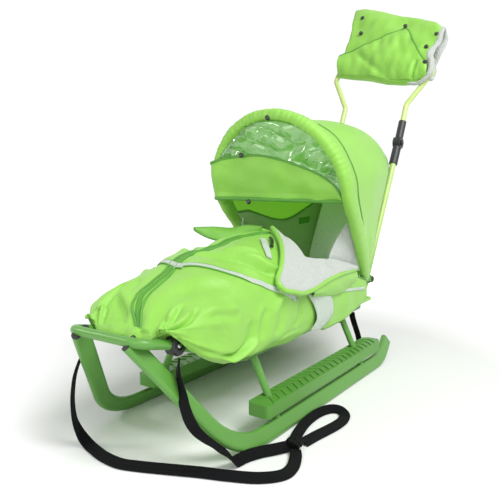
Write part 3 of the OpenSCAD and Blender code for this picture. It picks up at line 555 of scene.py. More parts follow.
# axisZ is the height of the bag's middle line, girth the length of one radian round it
bagSpec = {"axisZ": 285, "girth": 150, "toeFrom": 584, "toeLong": 66, "sag": 34, "sagFrom": (570, 635),
           "sagSide": (74, 100), "hemSide": (112, 134), "wall": 3, "liningGap": 8, "liningWall": 2}
# Sections of the bag: distance forward, underside, middle of its sides, top, half width
bagTable = np.array([
    [96, 206, 300, 434, 168], [180, 205, 292, 427, 172], [280, 205, 282, 418, 173],
    [390, 206, 268, 404, 170], [480, 214, 262, 384, 168], [560, 252, 280, 352, 160],
    [610, 270, 290, 328, 144], [645, 281, 292, 306, 116]])
# Height of the side hems, which hang past the board and the rail
bagHem = np.array([[81, 172], [215, 174], [332, 177], [434, 181], [500, 188], [574, 222], [612, 248],
                   [650, 272]])
bagKnots = smooth(bagTable, 200)


def bagSurface(x, a):
    # Section angle a runs from the left side over the top: an ellipse above, a boxed curve below
    under, middle, top, half = [np.interp(x, bagKnots[:, 0], bagKnots[:, k]) for k in range(1, 5)]
    close = np.sqrt(np.clip(1 - ((x - bagSpec["toeFrom"]) / bagSpec["toeLong"]).clip(0, 1) ** 2, 0.0, 1))
    c, s = np.cos(a), np.sin(a)
    y = half * np.where(s > 0, boxy(c, 0.84), boxy(c, 0.32))
    # Between the arms of the front bar the toe hangs lower
    sag = bagSpec["sag"] * ease(x, *bagSpec["sagFrom"]) * (1 - ease(np.abs(y), *bagSpec["sagSide"]))
    under, middle = under - 0.7 * sag, middle - sag
    low = under + (lookUp(bagHem, x) - under) * ease(np.abs(y), *bagSpec["hemSide"])
    z = middle + np.where(s > 0, (top - middle) * boxy(s, 0.86), (middle - low) * boxy(s, 0.36)) * close
    return np.stack([x + 0 * a, y, z], -1)


# Single folds of the cloth: from and to (distance forward, angle), half width, depth
bagCreases = [
    (428, 0, 520, -26, 11, 13), (412, -4, 380, 6, 10, 6), (348, -6, 306, 6, 12, 7),
    (256, -10, 222, 4, 11, 5), (644, 37, 590, 53, 9, 8), (644, 8, 578, 37, 10, 9),
    (600, 114, 630, 94, 9, 8), (640, 130, 560, 118, 10, 8), (405, 92, 340, 40, 13, 9),
    (352, 84, 312, 60, 11, 8), (560, 70, 470, 40, 22, 5), (560, 20, 480, 12, 16, 7),
    (372, 62, 318, 30, 12, 8), (590, 104, 540, 112, 12, 7), (330, 40, 268, 24, 11, 7),
    (470, 118, 400, 140, 14, 8), (360, 106, 300, 128, 12, 8),
    (300, 110, 220, 140, 13, 6), (420, 130, 330, 150, 14, 6), (430, 180, 516, 206, 11, 12),
    (340, 186, 300, 174, 12, 6)]
foldSpec = {"long": 3.0, "short": 1.3, "pucker": 2.5, "puckerX": 645, "puckerLong": 34, "puckerWide": 15,
            "valley": 6, "valleyWide": 20}
# Line of the zip: distance forward, angle
zipTable = np.array([[96, 90], [163, 96], [272, 98], [375, 100], [463, 96], [530, 93], [575, 92], [618, 88],
                     [640, 79]])


def zipAngle(x):
    # Angle of the zip in radians, from its table in degrees
    return np.radians(lookUp(zipTable, x))


def bagFolds(x, a):
    # Long soft ripples, a ridge beside a valley along each fold, puckers at the toe, a valley under the zip
    girth = bagSpec["girth"]
    around = girth * np.where(a > 1.5 * math.pi, a - 2 * math.pi, a)
    p = bagSurface(x, a)
    total = ripples(x, around, 3, 7, 110, 260, (0.2, 1.3)) * foldSpec["long"]
    total = total + ripples(x, around, 8, 9, 45, 100) * foldSpec["short"]
    calm = 1 - 0.8 * (1 - ease(x, 170, 260)) * ease(np.abs(p[..., 1]), 120, 160)
    for x0, a0, x1, a1, width, depth in bagCreases:
        q0, q1 = girth * math.radians(a0), girth * math.radians(a1)
        length = math.hypot(x1 - x0, q1 - q0)
        along = ((x - x0) * (x1 - x0) + (around - q0) * (q1 - q0)) / length**2
        across = ((x - x0) * (q1 - q0) - (around - q0) * (x1 - x0)) / length / width
        fade = np.exp(-np.clip(np.abs(along - 0.5) - 0.35, 0, None) ** 2 / 0.03)
        total = total + depth * fade * (0.8 * np.exp(-((across - 1.3) ** 2)) - np.exp(-(across**2)))
    over = np.where(np.sin(a) > 0, 1, 0)
    toe = np.exp(-(((x - foldSpec["puckerX"]) / foldSpec["puckerLong"]) ** 2))
    pucker = np.abs(np.sin(p[..., 1] / foldSpec["puckerWide"])) * toe * foldSpec["pucker"] * over
    fromZip = (around - girth * zipAngle(x)) / foldSpec["valleyWide"]
    valley = foldSpec["valley"] * np.exp(-(fromZip**2)) * over
    return (total * ease(x, 96, 140) - valley - pucker) * np.where(np.sin(a) < -0.9, 0.1, 1) * calm


def bagPoint(x, a, lift=0.0):
    # Surface point moved along its own normal by the folds and by lift
    x, a = np.broadcast_arrays(np.asarray(x, float), np.asarray(a, float))
    p = bagSurface(x, a)
    px = bagSurface(x + 0.5, a) - p
    pa = bagSurface(x, a + 0.004) - p
    normal = unit(np.cross(px, pa))
    outward = np.stack([0 * x, p[..., 1], p[..., 2] - bagSpec["axisZ"]], -1)
    normal = normal * np.sign((normal * outward).sum(-1, keepdims=True) + 1e-9)
    return p + normal * (bagFolds(x, a) + lift)[..., None]


# Rear edge of the bag: angle in degrees, distance forward; the near flap is turned down over the cut
bagCut = np.array([[19, 96], [25, 107], [30.6, 154], [36, 183], [44, 179], [53, 172], [62, 166], [69, 160],
                   [80, 128], [88.5, 107], [93, 96]])
# Rows along the bag and round its toe, columns round it, rows that the lining reaches, and the toe's turn
bagGrid = {"rows": 130, "toeRows": 26, "columns": 300, "liningRows": 88, "toeFrom": 590, "toeLong": 59}
bagAngle = np.linspace(0, 2 * math.pi, bagGrid["columns"], endpoint=False)
startX = lookUp(bagCut, np.degrees(bagAngle))
bodyX = startX + (bagGrid["toeFrom"] - startX) * np.linspace(0, 1, bagGrid["rows"])[:, None]
toeTurn = np.sin(np.linspace(0.05, 1, bagGrid["toeRows"]) * math.pi / 2)
toeX = np.outer(bagGrid["toeFrom"] + bagGrid["toeLong"] * toeTurn, np.ones(bagGrid["columns"]))
bagGridX = np.vstack([bodyX, toeX])
bagGridA = np.broadcast_to(bagAngle, bagGridX.shape)
footBag = faceOut(gridMesh("footBag", place(bagPoint(bagGridX, bagGridA)), nylon, around=True))
finishPiece(thicken(footBag, bagSpec["wall"] / 1000, -1), "sled", "green_nylon",
            "bag_cover", "bag_wall_left", "bag_wall_right", "bag_floor", "bag_toe")
inside = (slice(0, bagGrid["liningRows"], 2), slice(None, None, 2))
insideShell = bagPoint(bagGridX[inside], bagGridA[inside], -bagSpec["liningGap"])
bagLining = faceOut(gridMesh("bagLining", place(insideShell), lining, around=True))
finishPiece(thicken(bagLining, bagSpec["liningWall"] / 1000), "sled", "white_fleece")


def bagLine(points, lift):
    # Points (x, angle in degrees) laid on the bag's surface, with its normal; a degree counts as 3 mm
    route = smooth(np.c_[np.array(points, float), np.zeros(len(points))] * [1, 3, 1], 260)
    x, a = route[:, 0], np.radians(route[:, 1] / 3)
    line = bagPoint(x, a, lift)
    ahead, around = bagPoint(x + 1.5, a, lift) - line, bagPoint(x, a + 0.012, lift) - line
    return line, unit(np.cross(ahead, around))


def ribbonOn(name, points, width, thickness, lift, material, slotName, power=0.4):
    # Ribbon along a line on the bag, its width across the line and in the surface
    line, normal = bagLine(points, lift)
    side = np.cross(unit(np.gradient(line, axis=0)), normal)
    finishPiece(trimMesh(name, line, side, width, thickness, material, 10, power), "sled", slotName)


# The zip's first point forward, the turn to its edges in degrees, and each ribbon's width and thickness
zipSpec = {"front": 112, "edgeTurn": 3.4, "edge": (6, 6), "tape": (12, 3), "teeth": (3, 3.2),
           "tab": (17, 2.4), "puller": (8, 5)}
zipX = np.r_[zipSpec["front"], zipTable[1:, 0]]
zipRoute = np.c_[zipX, np.degrees(zipAngle(zipX))]
for side, mirrored in sides:
    ribbonOn("zipEdge" + side, zipRoute - [0, mirrored * zipSpec["edgeTurn"]], *zipSpec["edge"], 1.0,
             nylonDeep, "green_nylon", 1.0)
ribbonOn("zipTape", zipRoute, *zipSpec["tape"], 1.0, tape, "green_nylon")
ribbonOn("zipTeeth", zipRoute, *zipSpec["teeth"], 2.0, nylonDeep, "green_nylon")
reflectorSpec = {"band": (13, 3), "edge": (3.4, 3.4), "edgeShift": 7.5}
reflectorRoute = np.array([(479, 93), (467, 82), (457, 70), (444, 58.8), (421, 46), (395, 35.5), (340, 19.9),
                           (299, 10), (262, 2)])
for side, mirrored in sides:
    route = reflectorRoute if mirrored > 0 else [0, 180] + [1, -1] * reflectorRoute
    ribbonOn("reflector" + side, route, *reflectorSpec["band"], 2.2, silver, "silver_trim")
    for edge, way in (("Upper", -1), ("Lower", 1)):
        beside = route + [way * reflectorSpec["edgeShift"], 0]
        ribbonOn("reflector" + side + edge, beside, *reflectorSpec["edge"], 1.8, nylonDeep, "green_nylon",
                 1.0)
tabRoute = [(214, 77), (240, 70), (268, 62), (296, 50)]
pullerRoute = [(196, 74), (214, 68), (232, 64), (250, 60)]
ribbonOn("zipTab", tabRoute, *zipSpec["tab"], 3.2, silver, "silver_trim")
ribbonOn("zipPuller", pullerRoute, *zipSpec["puller"], 6, blackPlastic, "black_plastic", 0.8)
waistA = np.arange(-30, 212, 6)
waist, waistNormal = bagLine(np.c_[lookUp(bagCut, waistA) + 1, waistA], 1.0)
finishPiece(trimMesh("waistBinding", waist, waistNormal, 9, 12, nylon), "sled", "green_nylon")

print("side panels")
panelSpec = {"front": 108, "long": 268, "y": 163, "gap": 3, "low": 180, "rise": 26, "swell": 6, "wave": 1.6}
panelTop = np.array([[-196, 262], [-120, 286], [-60, 306], [50, 338], [108, 352]])


def panelPoints(mirrored, outward):
    # The bag's side beside the seat: bottom on the board, top edge falling to the back, slightly quilted
    u, v = np.meshgrid(np.linspace(0, 1, 60), np.linspace(0, 1, 30), indexing="ij")
    x = panelSpec["front"] - panelSpec["long"] * u
    low = panelSpec["low"] + panelSpec["rise"] * ease(u, 0.35, 1.0)
    z = low + (lookUp(panelTop, x) - low) * v
    swell = np.sin(math.pi * v) ** 0.5 * panelSpec["swell"]
    y = panelSpec["y"] + outward * (panelSpec["gap"] + swell)
    y = y + ripples(x, z, 21, 6, 60, 160) * panelSpec["wave"]
    return np.stack([x, mirrored * y, z], -1)


def ruled(top, low, rows, columns, swell, way, seed, wave):
    # Ruled surface between two edges, swelling outwards between them, with soft waves as if 120 mm wide
    a, b = smooth(top, rows), smooth(low, rows)
    v = np.linspace(0, 1, columns)[None, :, None]
    p = a[:, None] * (1 - v) + b[:, None] * v
    length = np.linalg.norm(np.diff(a, axis=0), axis=1).sum()
    u = np.linspace(0, length, rows)[:, None]
    rise = np.sin(math.pi * v[..., 0]) * swell + ripples(u, 120 * v[..., 0], seed, 6, 60, 160) * wave
    return p + rise[..., None] * np.asarray(way, float)


bandSpec = {
    "top": [[208, 177, 294], [176, 178, 258], [163, 178, 224], [182, 172, 197]],
    "low": [[104, 178, 288], [76, 179, 252], [78, 179, 216], [122, 172, 190]],
    "rows": 40, "columns": 20, "swell": 3, "way": (0, 1, 0), "seed": 26, "wave": 0.6}
for side, mirrored in sides:
    outer = panelPoints(mirrored, 1)
    inner = panelPoints(mirrored, -0.6)
    finishPiece(clothMesh("sidePanel" + side, outer, nylon, 2), "sled", "green_nylon",
                "side_panel_" + side.lower())
    finishPiece(clothMesh("sideFleece" + side, inner, fleece, 3), "sled", "white_fleece")
    edge = (outer[:, -1] + inner[:, -1]) / 2
    finishPiece(trimMesh("sideBinding" + side, edge, (0, 1, 0), 16, 7, nylonDeep), "sled", "green_nylon")
    piping = outer[4:56, 18] + np.array([0, mirrored * 2, 0])
    finishPiece(trimMesh("sidePiping" + side, piping, (0, 0, 1), 9, 3, silver, power=0.4), "sled",
                "silver_trim")
    band = ruled(**bandSpec) * [1, mirrored, 1]
    finishPiece(clothMesh("sideBand" + side, band, silver, 2), "sled", "silver_trim")

print("collar flaps")


def overBag(points, lift):
    # Points that would sink into the bag move out from its middle line until they clear it by lift
    a = np.linspace(0, math.pi, 181)
    shell = bagSurface(points[..., :1], a)
    axisZ = bagSpec["axisZ"]
    turn = np.arctan2(shell[..., 2] - axisZ, shell[..., 1])
    radius = np.hypot(shell[..., 2] - axisZ, shell[..., 1])
    own = np.arctan2(points[..., 2] - axisZ, points[..., 1])
    reach = np.hypot(points[..., 2] - axisZ, points[..., 1])
    nearest = np.abs(turn - own[..., None]).argmin(-1)
    need = np.take_along_axis(radius, nearest[..., None], -1)[..., 0] + lift
    start = lookUp(bagCut, np.degrees(a[nearest]))
    grow = 1 + (np.maximum(1, need / reach) - 1) * ease(points[..., 0], start - 24, start + 8)
    return np.stack([points[..., 0], points[..., 1] * grow, axisZ + (points[..., 2] - axisZ) * grow], -1)


nearFlapSpec = {
    "top": [[107, 8, 433], [164, 72, 421], [166, 91, 414], [172, 112, 404], [179, 130, 391], [183, 144, 377],
            [154, 151, 370], [107, 155, 363], [59, 161, 360], [-8, 173, 344], [-67, 179, 323]],
    "low": [[342, 172, 345], [332, 184, 327], [270, 191, 309], [216, 193, 307], [175, 193, 313],
            [88, 191, 322], [-62, 181, 320]],
    "rows": 80, "columns": 44, "swell": 7, "way": (0.1, 0.7, 0.6), "seed": 31, "wave": 1.8}
nearFlap = overBag(ruled(**nearFlapSpec), 9)
nearFleece = clothMesh("nearFlap", nearFlap, fleece, 7, 1)
finishPiece(nearFleece, "sled", "white_fleece")
backing = nearFlap + np.array([-1.5, -5.0, -5.5])
finishPiece(clothMesh("nearFlapBacking", backing, nylon, 2), "sled", "green_nylon")
edge = np.vstack([nearFlap[0], nearFlap[1:, -1]])
finishPiece(trimMesh("nearFlapBinding", smooth(edge[::4], 260), (0, 0.7, 0.7), 13, 11, nylon, 12), "sled",
            "green_nylon")
flapRollSpec = {
    "top": [[216, 190, 306], [175, 190, 311], [88, 188, 320], [0, 182, 322], [-62, 178, 318]],
    "low": [[190, 180, 286], [130, 179, 276], [60, 177, 268], [-10, 174, 266], [-84, 170, 284]],
    "rows": 50, "columns": 20, "swell": 7, "way": (0, 0.9, 0.2), "seed": 34, "wave": 1.6}
finishPiece(clothMesh("nearFlapRoll", ruled(**flapRollSpec), nylon, 4, 1), "sled", "green_nylon")
farFlapSpec = {
    "top": [[96, -30, 438], [108, -66, 441], [122, -110, 433], [154, -150, 435], [192, -189, 434]],
    "low": [[104, -30, 430], [116, -62, 412], [160, -110, 404], [178, -150, 410], [194, -188, 429]],
    "rows": 60, "columns": 24, "swell": 7, "way": (0.5, 0.1, 0.6), "seed": 37, "wave": 1.6}
farFlap = ruled(**farFlapSpec)
# The far flap is drawn in the darker copy of the nylon: painted shade
farNylon = clothMesh("farFlap", farFlap, nylonPaintedShade, 6, 1)
finishPiece(farNylon, "sled", "green_nylon")
edge = np.vstack([farFlap[:, 0], farFlap[-1][1:], farFlap[::-1, -1][1:]])
finishPiece(trimMesh("farFlapBinding", smooth(edge[::4], 200), (0.3, 0.3, 1), 8, 8, nylonDeep), "sled",
            "green_nylon")

print("back pad")
backX, seatZ, backLean = -254, 195.3, math.radians(29)


def onBack(up, across, out):
    # Distance up the back tubes, across the sled, and out from the tubes towards the front
    return np.stack([backX - up * math.sin(backLean) + out * math.cos(backLean), across,
                     seatZ + up * math.cos(backLean) + out * math.sin(backLean)], -1)


padSpec = {"low": 72, "side": 430, "half": 86, "thick": 34, "gap": 18.6, "puff": 0.006}


def padPoints():
    # Closed pad: an outline with a round head, drawn in towards its middle on both faces
    half, thick = padSpec["half"], padSpec["thick"]
    t = np.linspace(0, 2 * math.pi, 120, endpoint=False)
    c, s = np.cos(t), np.sin(t)
    middle = (padSpec["low"] + padSpec["side"]) / 2
    reach = (padSpec["side"] - padSpec["low"]) / 2
    up = middle + boxy(c, 0.35) * reach + half * np.clip(c, 0, 1)
    head = np.clip((c - 0.6) / 0.4, 0, 1)
    across = half * boxy(s, 0.35) * np.sqrt(1 - head**2 * 0.75)
    rings = np.linspace(0, math.pi, 26)
    shrink, depth = np.sin(rings) ** 0.35, -np.cos(rings)
    u = middle + (up[None] - middle) * shrink[:, None]
    y = across[None] * shrink[:, None]
    out = padSpec["gap"] + thick / 2 + boxy(depth, 0.6)[:, None] * thick / 2 + 0 * u
    return place(onBack(u, y, out))


# The pad wears the lighter copy of the fleece: painted light
pad = faceOut(gridMesh("backPad", padPoints(), paintedLightFleece, around=True, capped=True))
puff(pad, padSpec["puff"])
finishPiece(pad, "sled", "white_fleece", "back_pad")

print("hood")
rimSpec = {"x": 59, "lead": 51, "half": 205, "side": 532, "rise": 208, "foot": (-190, 150, 262),
           "radius": 15, "wide": 46, "back": 6, "steps": 640}
coverSpec = {"half": 111, "side": 430, "drop": 342, "out": 18, "gap": 12, "dome": 40, "shoulder": 18,
             "tent": 2.8, "pull": 2.6}


def rimPoint(t):
    # Half the rim, t from the top to the arm: an arch, then a curve down and back
    t = np.abs(np.asarray(t, float))
    a, low = math.pi * np.minimum(t, 0.5), np.clip(2 * t - 1, 0, 1)
    foot = rimSpec["foot"]
    arch = np.stack([rimSpec["x"] + rimSpec["lead"] * np.cos(a), rimSpec["half"] * np.sin(a),
                     rimSpec["side"] + rimSpec["rise"] * np.cos(a)], -1)
    down = np.stack([rimSpec["x"] - (rimSpec["x"] - foot[0]) * low**1.15,
                     rimSpec["half"] - (rimSpec["half"] - foot[1]) * low**2,
                     rimSpec["side"] - (rimSpec["side"] - foot[2]) * low], -1)
    return np.where((t < 0.5)[..., None], arch, down)


def backArch(t):
    # Half the arch on the back tubes that carries the cover's rear edge
    half, side = coverSpec["half"], coverSpec["side"]
    t = np.abs(t)
    a, low = math.pi * np.minimum(t, 0.5), np.clip(2 * t - 1, 0, 1)
    up = np.where(t < 0.5, side + half * np.cos(a), side - low * coverSpec["drop"])
    return onBack(up, np.where(t < 0.5, half * np.sin(a), half), coverSpec["out"] + 0 * t)


def coverPoint(t, v, inset=0.0):
    # From behind the rim to the back arch, swelling outwards between them
    t, v = np.broadcast_arrays(np.asarray(t, float), np.asarray(v, float))
    s = np.abs(t) * 0.96
    f, b = rimPoint(s), backArch(s)
    along = unit(rimPoint(s + 0.01) - rimPoint(np.maximum(0, s - 0.01)))
    gap = b - f
    away = unit(gap - (gap * along).sum(-1, keepdims=True) * along)
    near = f + away * coverSpec["gap"]
    p = near + (b - near) * v[..., None]
    tent = ripples(300 * t, 260 * v, 44, 7, 70, 220) * coverSpec["tent"]
    pulls = np.sin(9 * math.pi * t + 2.5 * v) * coverSpec["pull"] * (1 - v) ** 2
    dome = coverSpec["dome"] - coverSpec["shoulder"] * ease(s, 0.08, 0.36)
    dome = dome * (1 - 0.4 * ease(s, 0.45, 0.8))
    back = v**1.6
    swell = 4 * back * (1 - back) * dome - inset + (tent + pulls) * np.sin(math.pi * v)
    top = np.where(s < 0.5, np.cos(math.pi * np.minimum(s, 0.5)), 0)
    side = np.where(s < 0.5, np.sin(math.pi * np.minimum(s, 0.5)), 1)
    p = p + np.stack([0 * t, swell * side, swell * top], -1)
    return p * np.stack([np.ones_like(t), np.where(t < 0, -1.0, 1.0), np.ones_like(t)], -1)


coverT, coverV = np.meshgrid(np.linspace(-1, 1, 181), np.linspace(0, 1, 50), indexing="ij")
coverOuter = coverPoint(coverT, coverV)


def foldPiece(piece):
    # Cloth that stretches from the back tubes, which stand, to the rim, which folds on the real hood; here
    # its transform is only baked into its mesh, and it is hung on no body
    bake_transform(piece)
    return piece


hoodCover = foldPiece(clothMesh("hoodCover", coverOuter, nylon, 2))
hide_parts("hood_cover")


def liningEdge(v):
    # Where the nylon of the upper lining meets the fleece of the side walls; it dips in the middle
    return 0.66 + 0.095 * np.sin(math.pi * np.clip((v - 0.12) / 0.86, 0, 1))


# How far inside the cover the lining, the fleece walls, the piping and the tab lie
insetSpec = {"lining": 7, "fleece": 9, "piping": 10.5, "tab": 11.5}
wingSpec = {
    "top": [[-14, 172, 452], [14, 160, 418], [46, 154, 378], [58, 152, 352], [62, 150, 326]],
    "low": [[-60, 177, 420], [-78, 176, 398], [-98, 173, 372], [-125, 167, 340], [-155, 158, 303]],
    "rows": 50, "columns": 30, "swell": 8, "way": (0.5, 0.8, 0), "seed": 47, "wave": 1.4}
liningV = coverV[:1]
liningT = np.linspace(-1, 1, 121)[:, None] * liningEdge(liningV)
inner = coverPoint(liningT, liningV, insetSpec["lining"])
# The upper lining wears the brighter, glowing lining nylon: painted light
foldPiece(clothMesh("hoodLining", inner, nylonInsideGlow, 2))
for side, mirrored in sides:
    share = np.linspace(0, 1, 40)[:, None]
    wallT = mirrored * (liningEdge(liningV) * (1 - share) + share)
    wall = coverPoint(wallT, liningV, insetSpec["fleece"])
    # The hood's fleece walls wear the darker, greener copy of the fleece: painted shade
    foldPiece(clothMesh("hoodFleece" + side, wall, paintedShadeFleece, 3))
    edgeV = np.linspace(0.02, 0.98, 120)
    line = coverPoint(mirrored * liningEdge(edgeV), edgeV, insetSpec["piping"])
    foldPiece(trimMesh("liningPiping" + side, line, (0, 1, 0), 6, 6, nylonDeep, 8))
    wing = ruled(**wingSpec) * [1, mirrored, 1]
    wingFleece = clothMesh("sideWing" + side, wing, fleece, 6, 1)
    finishPiece(wingFleece, "sled", "white_fleece")
tabT, tabV = -np.linspace(0.762, 0.80, 12)[:, None], np.linspace(0.74, 0.885, 20)[None]
wallTab = coverPoint(tabT, tabV, insetSpec["tab"])
foldPiece(clothMesh("wallTab", wallTab, nylonDeep, 4, 1))
for name, v in (("coverSeamFront", 0.16), ("coverSeamRear", 0.985)):
    line = coverPoint(np.linspace(-0.93, 0.93, 200), v, -1.5)
    foldPiece(trimMesh(name, line, (1, 0, 0.2), 4.5, 4.5, nylonDeep, 8))

rimT = np.linspace(-0.985, 0.985, rimSpec["steps"])
rimLine = rimPoint(rimT) * np.stack([0 * rimT + 1, np.where(rimT < 0, -1, 1), 0 * rimT + 1], 1)
rimRun = np.arange(rimSpec["steps"]) * 0.66  # run along the rim, for the waves of its gathers
gather = 1 + 0.03 * np.sin(rimRun * 0.23 + 1) + 0.02 * np.sin(rimRun * 0.61)
pleat = 0.11 * np.abs(np.sin(rimRun * 0.62 + np.sin(rimRun * 0.13))) * (1 - ease(np.abs(rimT), 0.3, 0.5))
rimThick = 2 * rimSpec["radius"] * (1 - 0.25 * np.abs(rimT) ** 6) * (gather + pleat)
rimWide = rimSpec["wide"] * (1 - 0.3 * np.abs(rimT) ** 8) * (gather + 0.5 * pleat)
rimAlong = unit(np.gradient(rimLine, axis=0))
rimBack = unit(np.array([-1.0, 0, 0]) + rimAlong[:, :1] * rimAlong)
rimMiddle = rimLine + rimSpec["back"] * rimBack
hoodRim = trimMesh("hoodRim", rimMiddle, (1, 0, 0), rimWide, rimThick, nylon, 28, 0.8)
finishPiece(hoodRim, "hood", "green_nylon", "hood_rim")

print("visor")
visorSpec = {"hem": 514, "bulge": 12, "inset": 6, "wrap": 24, "wrapEnd": 16, "wave": 2.2, "swell": 5}
windowSpec = {"half": 0.965, "low": 526, "rise": 198, "overlap": 4, "wide": 13, "narrow": 8}


def visorSheet(u, z, out=0.0):
    # Curtain inside the rim: leans forward with height, bulges in the middle and wraps over the right rim
    lead = rimSpec["lead"] * np.maximum(0, z - rimSpec["side"]) / rimSpec["rise"]
    wrap = visorSpec["wrap"] * ease(-u, 0.62, 0.98) - visorSpec["wrapEnd"] * ease(-u, 1.0, 1.08)
    x = rimSpec["x"] + lead + visorSpec["bulge"] * (1 - u * u) + wrap + out
    return np.stack([x, (rimSpec["half"] - visorSpec["inset"]) * u, z], -1)


bandTable = np.array([[-1.085, 612], [-0.8, 626], [-0.5, 633], [-0.2, 634], [0.2, 618], [0.58, 592],
                      [0.72, 578], [0.85, 560], [0.92, 542], [0.965, 520]])
bandEdge = smooth(bandTable * [200, 1], 200) / [200, 1]


def bandTop(u):
    # Upper edge of the band: highest right of the middle, falling to the left rim
    return lookUp(bandEdge, u)


visorU, visorV = np.meshgrid(np.linspace(-1.085, 0.965, 160), np.linspace(0, 1, 50), indexing="ij")
bandZ = visorSpec["hem"] + (bandTop(visorU) - visorSpec["hem"]) * visorV
bandOut = ripples(190 * visorU, bandZ, 52, 7, 60, 170) * visorSpec["wave"]
bandOut = bandOut + visorSpec["swell"] * np.sin(math.pi * visorV)
bandGrid = visorSheet(visorU, bandZ, bandOut)
visorBand = clothMesh("visorBand", bandGrid, nylon, 2)
finishPiece(visorBand, "hood", "green_nylon", "hood_visor")
windowU = np.clip(visorU, -windowSpec["half"], windowSpec["half"])
windowTop = windowSpec["low"] + windowSpec["rise"] * np.sqrt(np.clip(1 - windowU**2, 0, 1))
windowLow = bandTop(windowU) - windowSpec["overlap"]
windowZ = windowLow + (np.maximum(windowTop, bandTop(windowU)) - windowLow) * visorV
# Film creases: differences of folded waves, which meet in sharp ridges
wideFolds = np.abs(ripples(190 * windowU, windowZ, 67, 3, 70, 150)) * windowSpec["wide"]
narrowFolds = np.abs(ripples(190 * windowU, windowZ, 61, 4, 36, 90)) * windowSpec["narrow"]
crumple = wideFolds - narrowFolds
window = visorSheet(windowU, windowZ, crumple * np.sin(math.pi * visorV) ** 0.5)
finishPiece(clothMesh("visorWindow", window, film, 0.8), "hood", "clear_film")
edgeU = np.linspace(-1.08, 0.96, 180)
lowEdge = visorSheet(edgeU, visorSpec["hem"] + 0 * edgeU, 1.5)
finishPiece(trimMesh("visorHem", lowEdge, (0, 0, 1), 11, 7, nylonDeep), "hood", "green_nylon")
topEdge = visorSheet(edgeU, bandTop(edgeU), 2)
finishPiece(trimMesh("visorPiping", topEdge, (1, 0, 0), 6, 6, nylonDeep, 8), "hood", "green_nylon")

print("muff")
pivot = np.array([-525.978, 685.962])
handleLean = math.radians(27)
gripReach = 350
muffSpec = {"half": 198, "thick": 37, "thinEnds": 5, "wave": 4.2, "fineWave": 1.4, "wall": 3,
            "fleeceGap": 7, "fleeceWall": 6, "cuffGap": 3}


def onHandle(up, across, out):
    # Distance up the handle from its pivot, across the sled, and out towards the front
    return np.stack([pivot[0] - up * math.sin(handleLean) + out * math.cos(handleLean), across,
                     pivot[1] + up * math.cos(handleLean) + out * math.sin(handleLean)], -1)


# Outline of the muff about the grip: height of its upper and lower edge along the sled's width,
# and how far its two ends reach at each height
muffTop = np.array([[-195, 240], [-158, 239], [-69, 210], [17, 178], [97, 155], [174, 128], [206, 92]])
muffLow = np.array([[-197, -62], [-140, -74], [-55, -86], [28, -108], [104, -118], [170, -118], [200, -102]])
muffNear = np.array([[-118, 168], [-92, 180], [-62, 180], [-24, 170], [-6, 176], [33, 192], [78, 198],
                     [130, 184]])
muffFar = np.array([[-62, -176], [-26, -166], [15, -158], [80, -150], [138, -154], [200, -161], [240, -166]])


def muffPoints(shrink):
    # Flattened padded tube round the grip: a lens in section, its ends on the outline, with soft creases
    a = np.linspace(0, 2 * math.pi, 180, endpoint=False)
    gridV, gridA = np.meshgrid(np.linspace(-1, 1, 100), a, indexing="ij")
    top = lookUp(muffTop, muffSpec["half"] * gridV) - shrink
    low = lookUp(muffLow, muffSpec["half"] * gridV) + shrink
    c, s = boxy(np.cos(gridA), 0.72), boxy(np.sin(gridA), 0.8)
    up = (top + low) / 2 + (top - low) / 2 * c
    far, near = lookUp(muffFar, up), lookUp(muffNear, up)
    y = far + (near - far) * (gridV + 1) / 2
    thick = muffSpec["thick"] - muffSpec["thinEnds"] * np.abs(gridV) ** 3 - shrink
    crease = ripples(y, up, 71, 7, 80, 200) * muffSpec["wave"]
    crease = crease + ripples(y, up, 73, 6, 40, 80) * muffSpec["fineWave"]
    return onHandle(gripReach + up, y, (thick + crease) * s)


muffOuter = faceOut(gridMesh("muffShell", place(muffPoints(0)), nylon, around=True))
finishPiece(thicken(muffOuter, muffSpec["wall"] / 1000, -1), "handle", "green_nylon", "muff")
muffFleece = faceOut(gridMesh("muffFleece", place(muffPoints(muffSpec["fleeceGap"])), fleece, around=True))
finishPiece(thicken(muffFleece, muffSpec["fleeceWall"] / 1000), "handle", "white_fleece")
for name, row, wide, material, slotName in (("muffCuffRight", 0, 8, nylon, "green_nylon"),
                                            ("muffCuffLeft", -1, 18, fleece, "white_fleece")):
    ring = muffPoints(muffSpec["cuffGap"])[row][::2]
    ring = np.vstack([ring, ring[:2]])
    finishPiece(trimMesh(name, ring, (0, 1, 0), wide, wide * 0.66, material, 12), "handle", slotName)

# Fleece turned out at the near end: a soft roll whose thickness wavers
rollSpec = {
    "path": [[72, 196, 10], [36, 193, 18], [4, 182, 25], [-28, 178, 29], [-60, 186, 30], [-90, 186, 26],
             [-112, 172, 20], [-124, 144, 12], [-120, 108, 10]],
    "steps": 120, "wide": 20, "thick": 22}
rollPath = smooth(rollSpec["path"], rollSpec["steps"])
rollRun = np.linspace(0, 1, rollSpec["steps"])
rollSize = 1 + 0.12 * np.sin(14 * rollRun) + 0.08 * np.sin(41 * rollRun)
rollSize = rollSize * np.sin(0.12 + (math.pi - 0.24) * rollRun) ** 0.5
rollLine = onHandle(gripReach + rollPath[:, 0], rollPath[:, 1], rollPath[:, 2])
roll = trimMesh("muffRoll", rollLine, (0, 1, 0), rollSpec["wide"] * rollSize, rollSpec["thick"] * rollSize,
                fleece, 16)
finishPiece(roll, "handle", "white_fleece")
flapSpec = {"out": 42, "wave": 4.0, "fineWave": 1.3, "slack": 8, "tuck": 12}
muffFlapTop = np.array([[-200, -8], [-120, 20], [-40, 54], [30, 82], [66, 96], [84, 78], [110, 28],
                        [140, -22], [166, -60], [184, -92]])


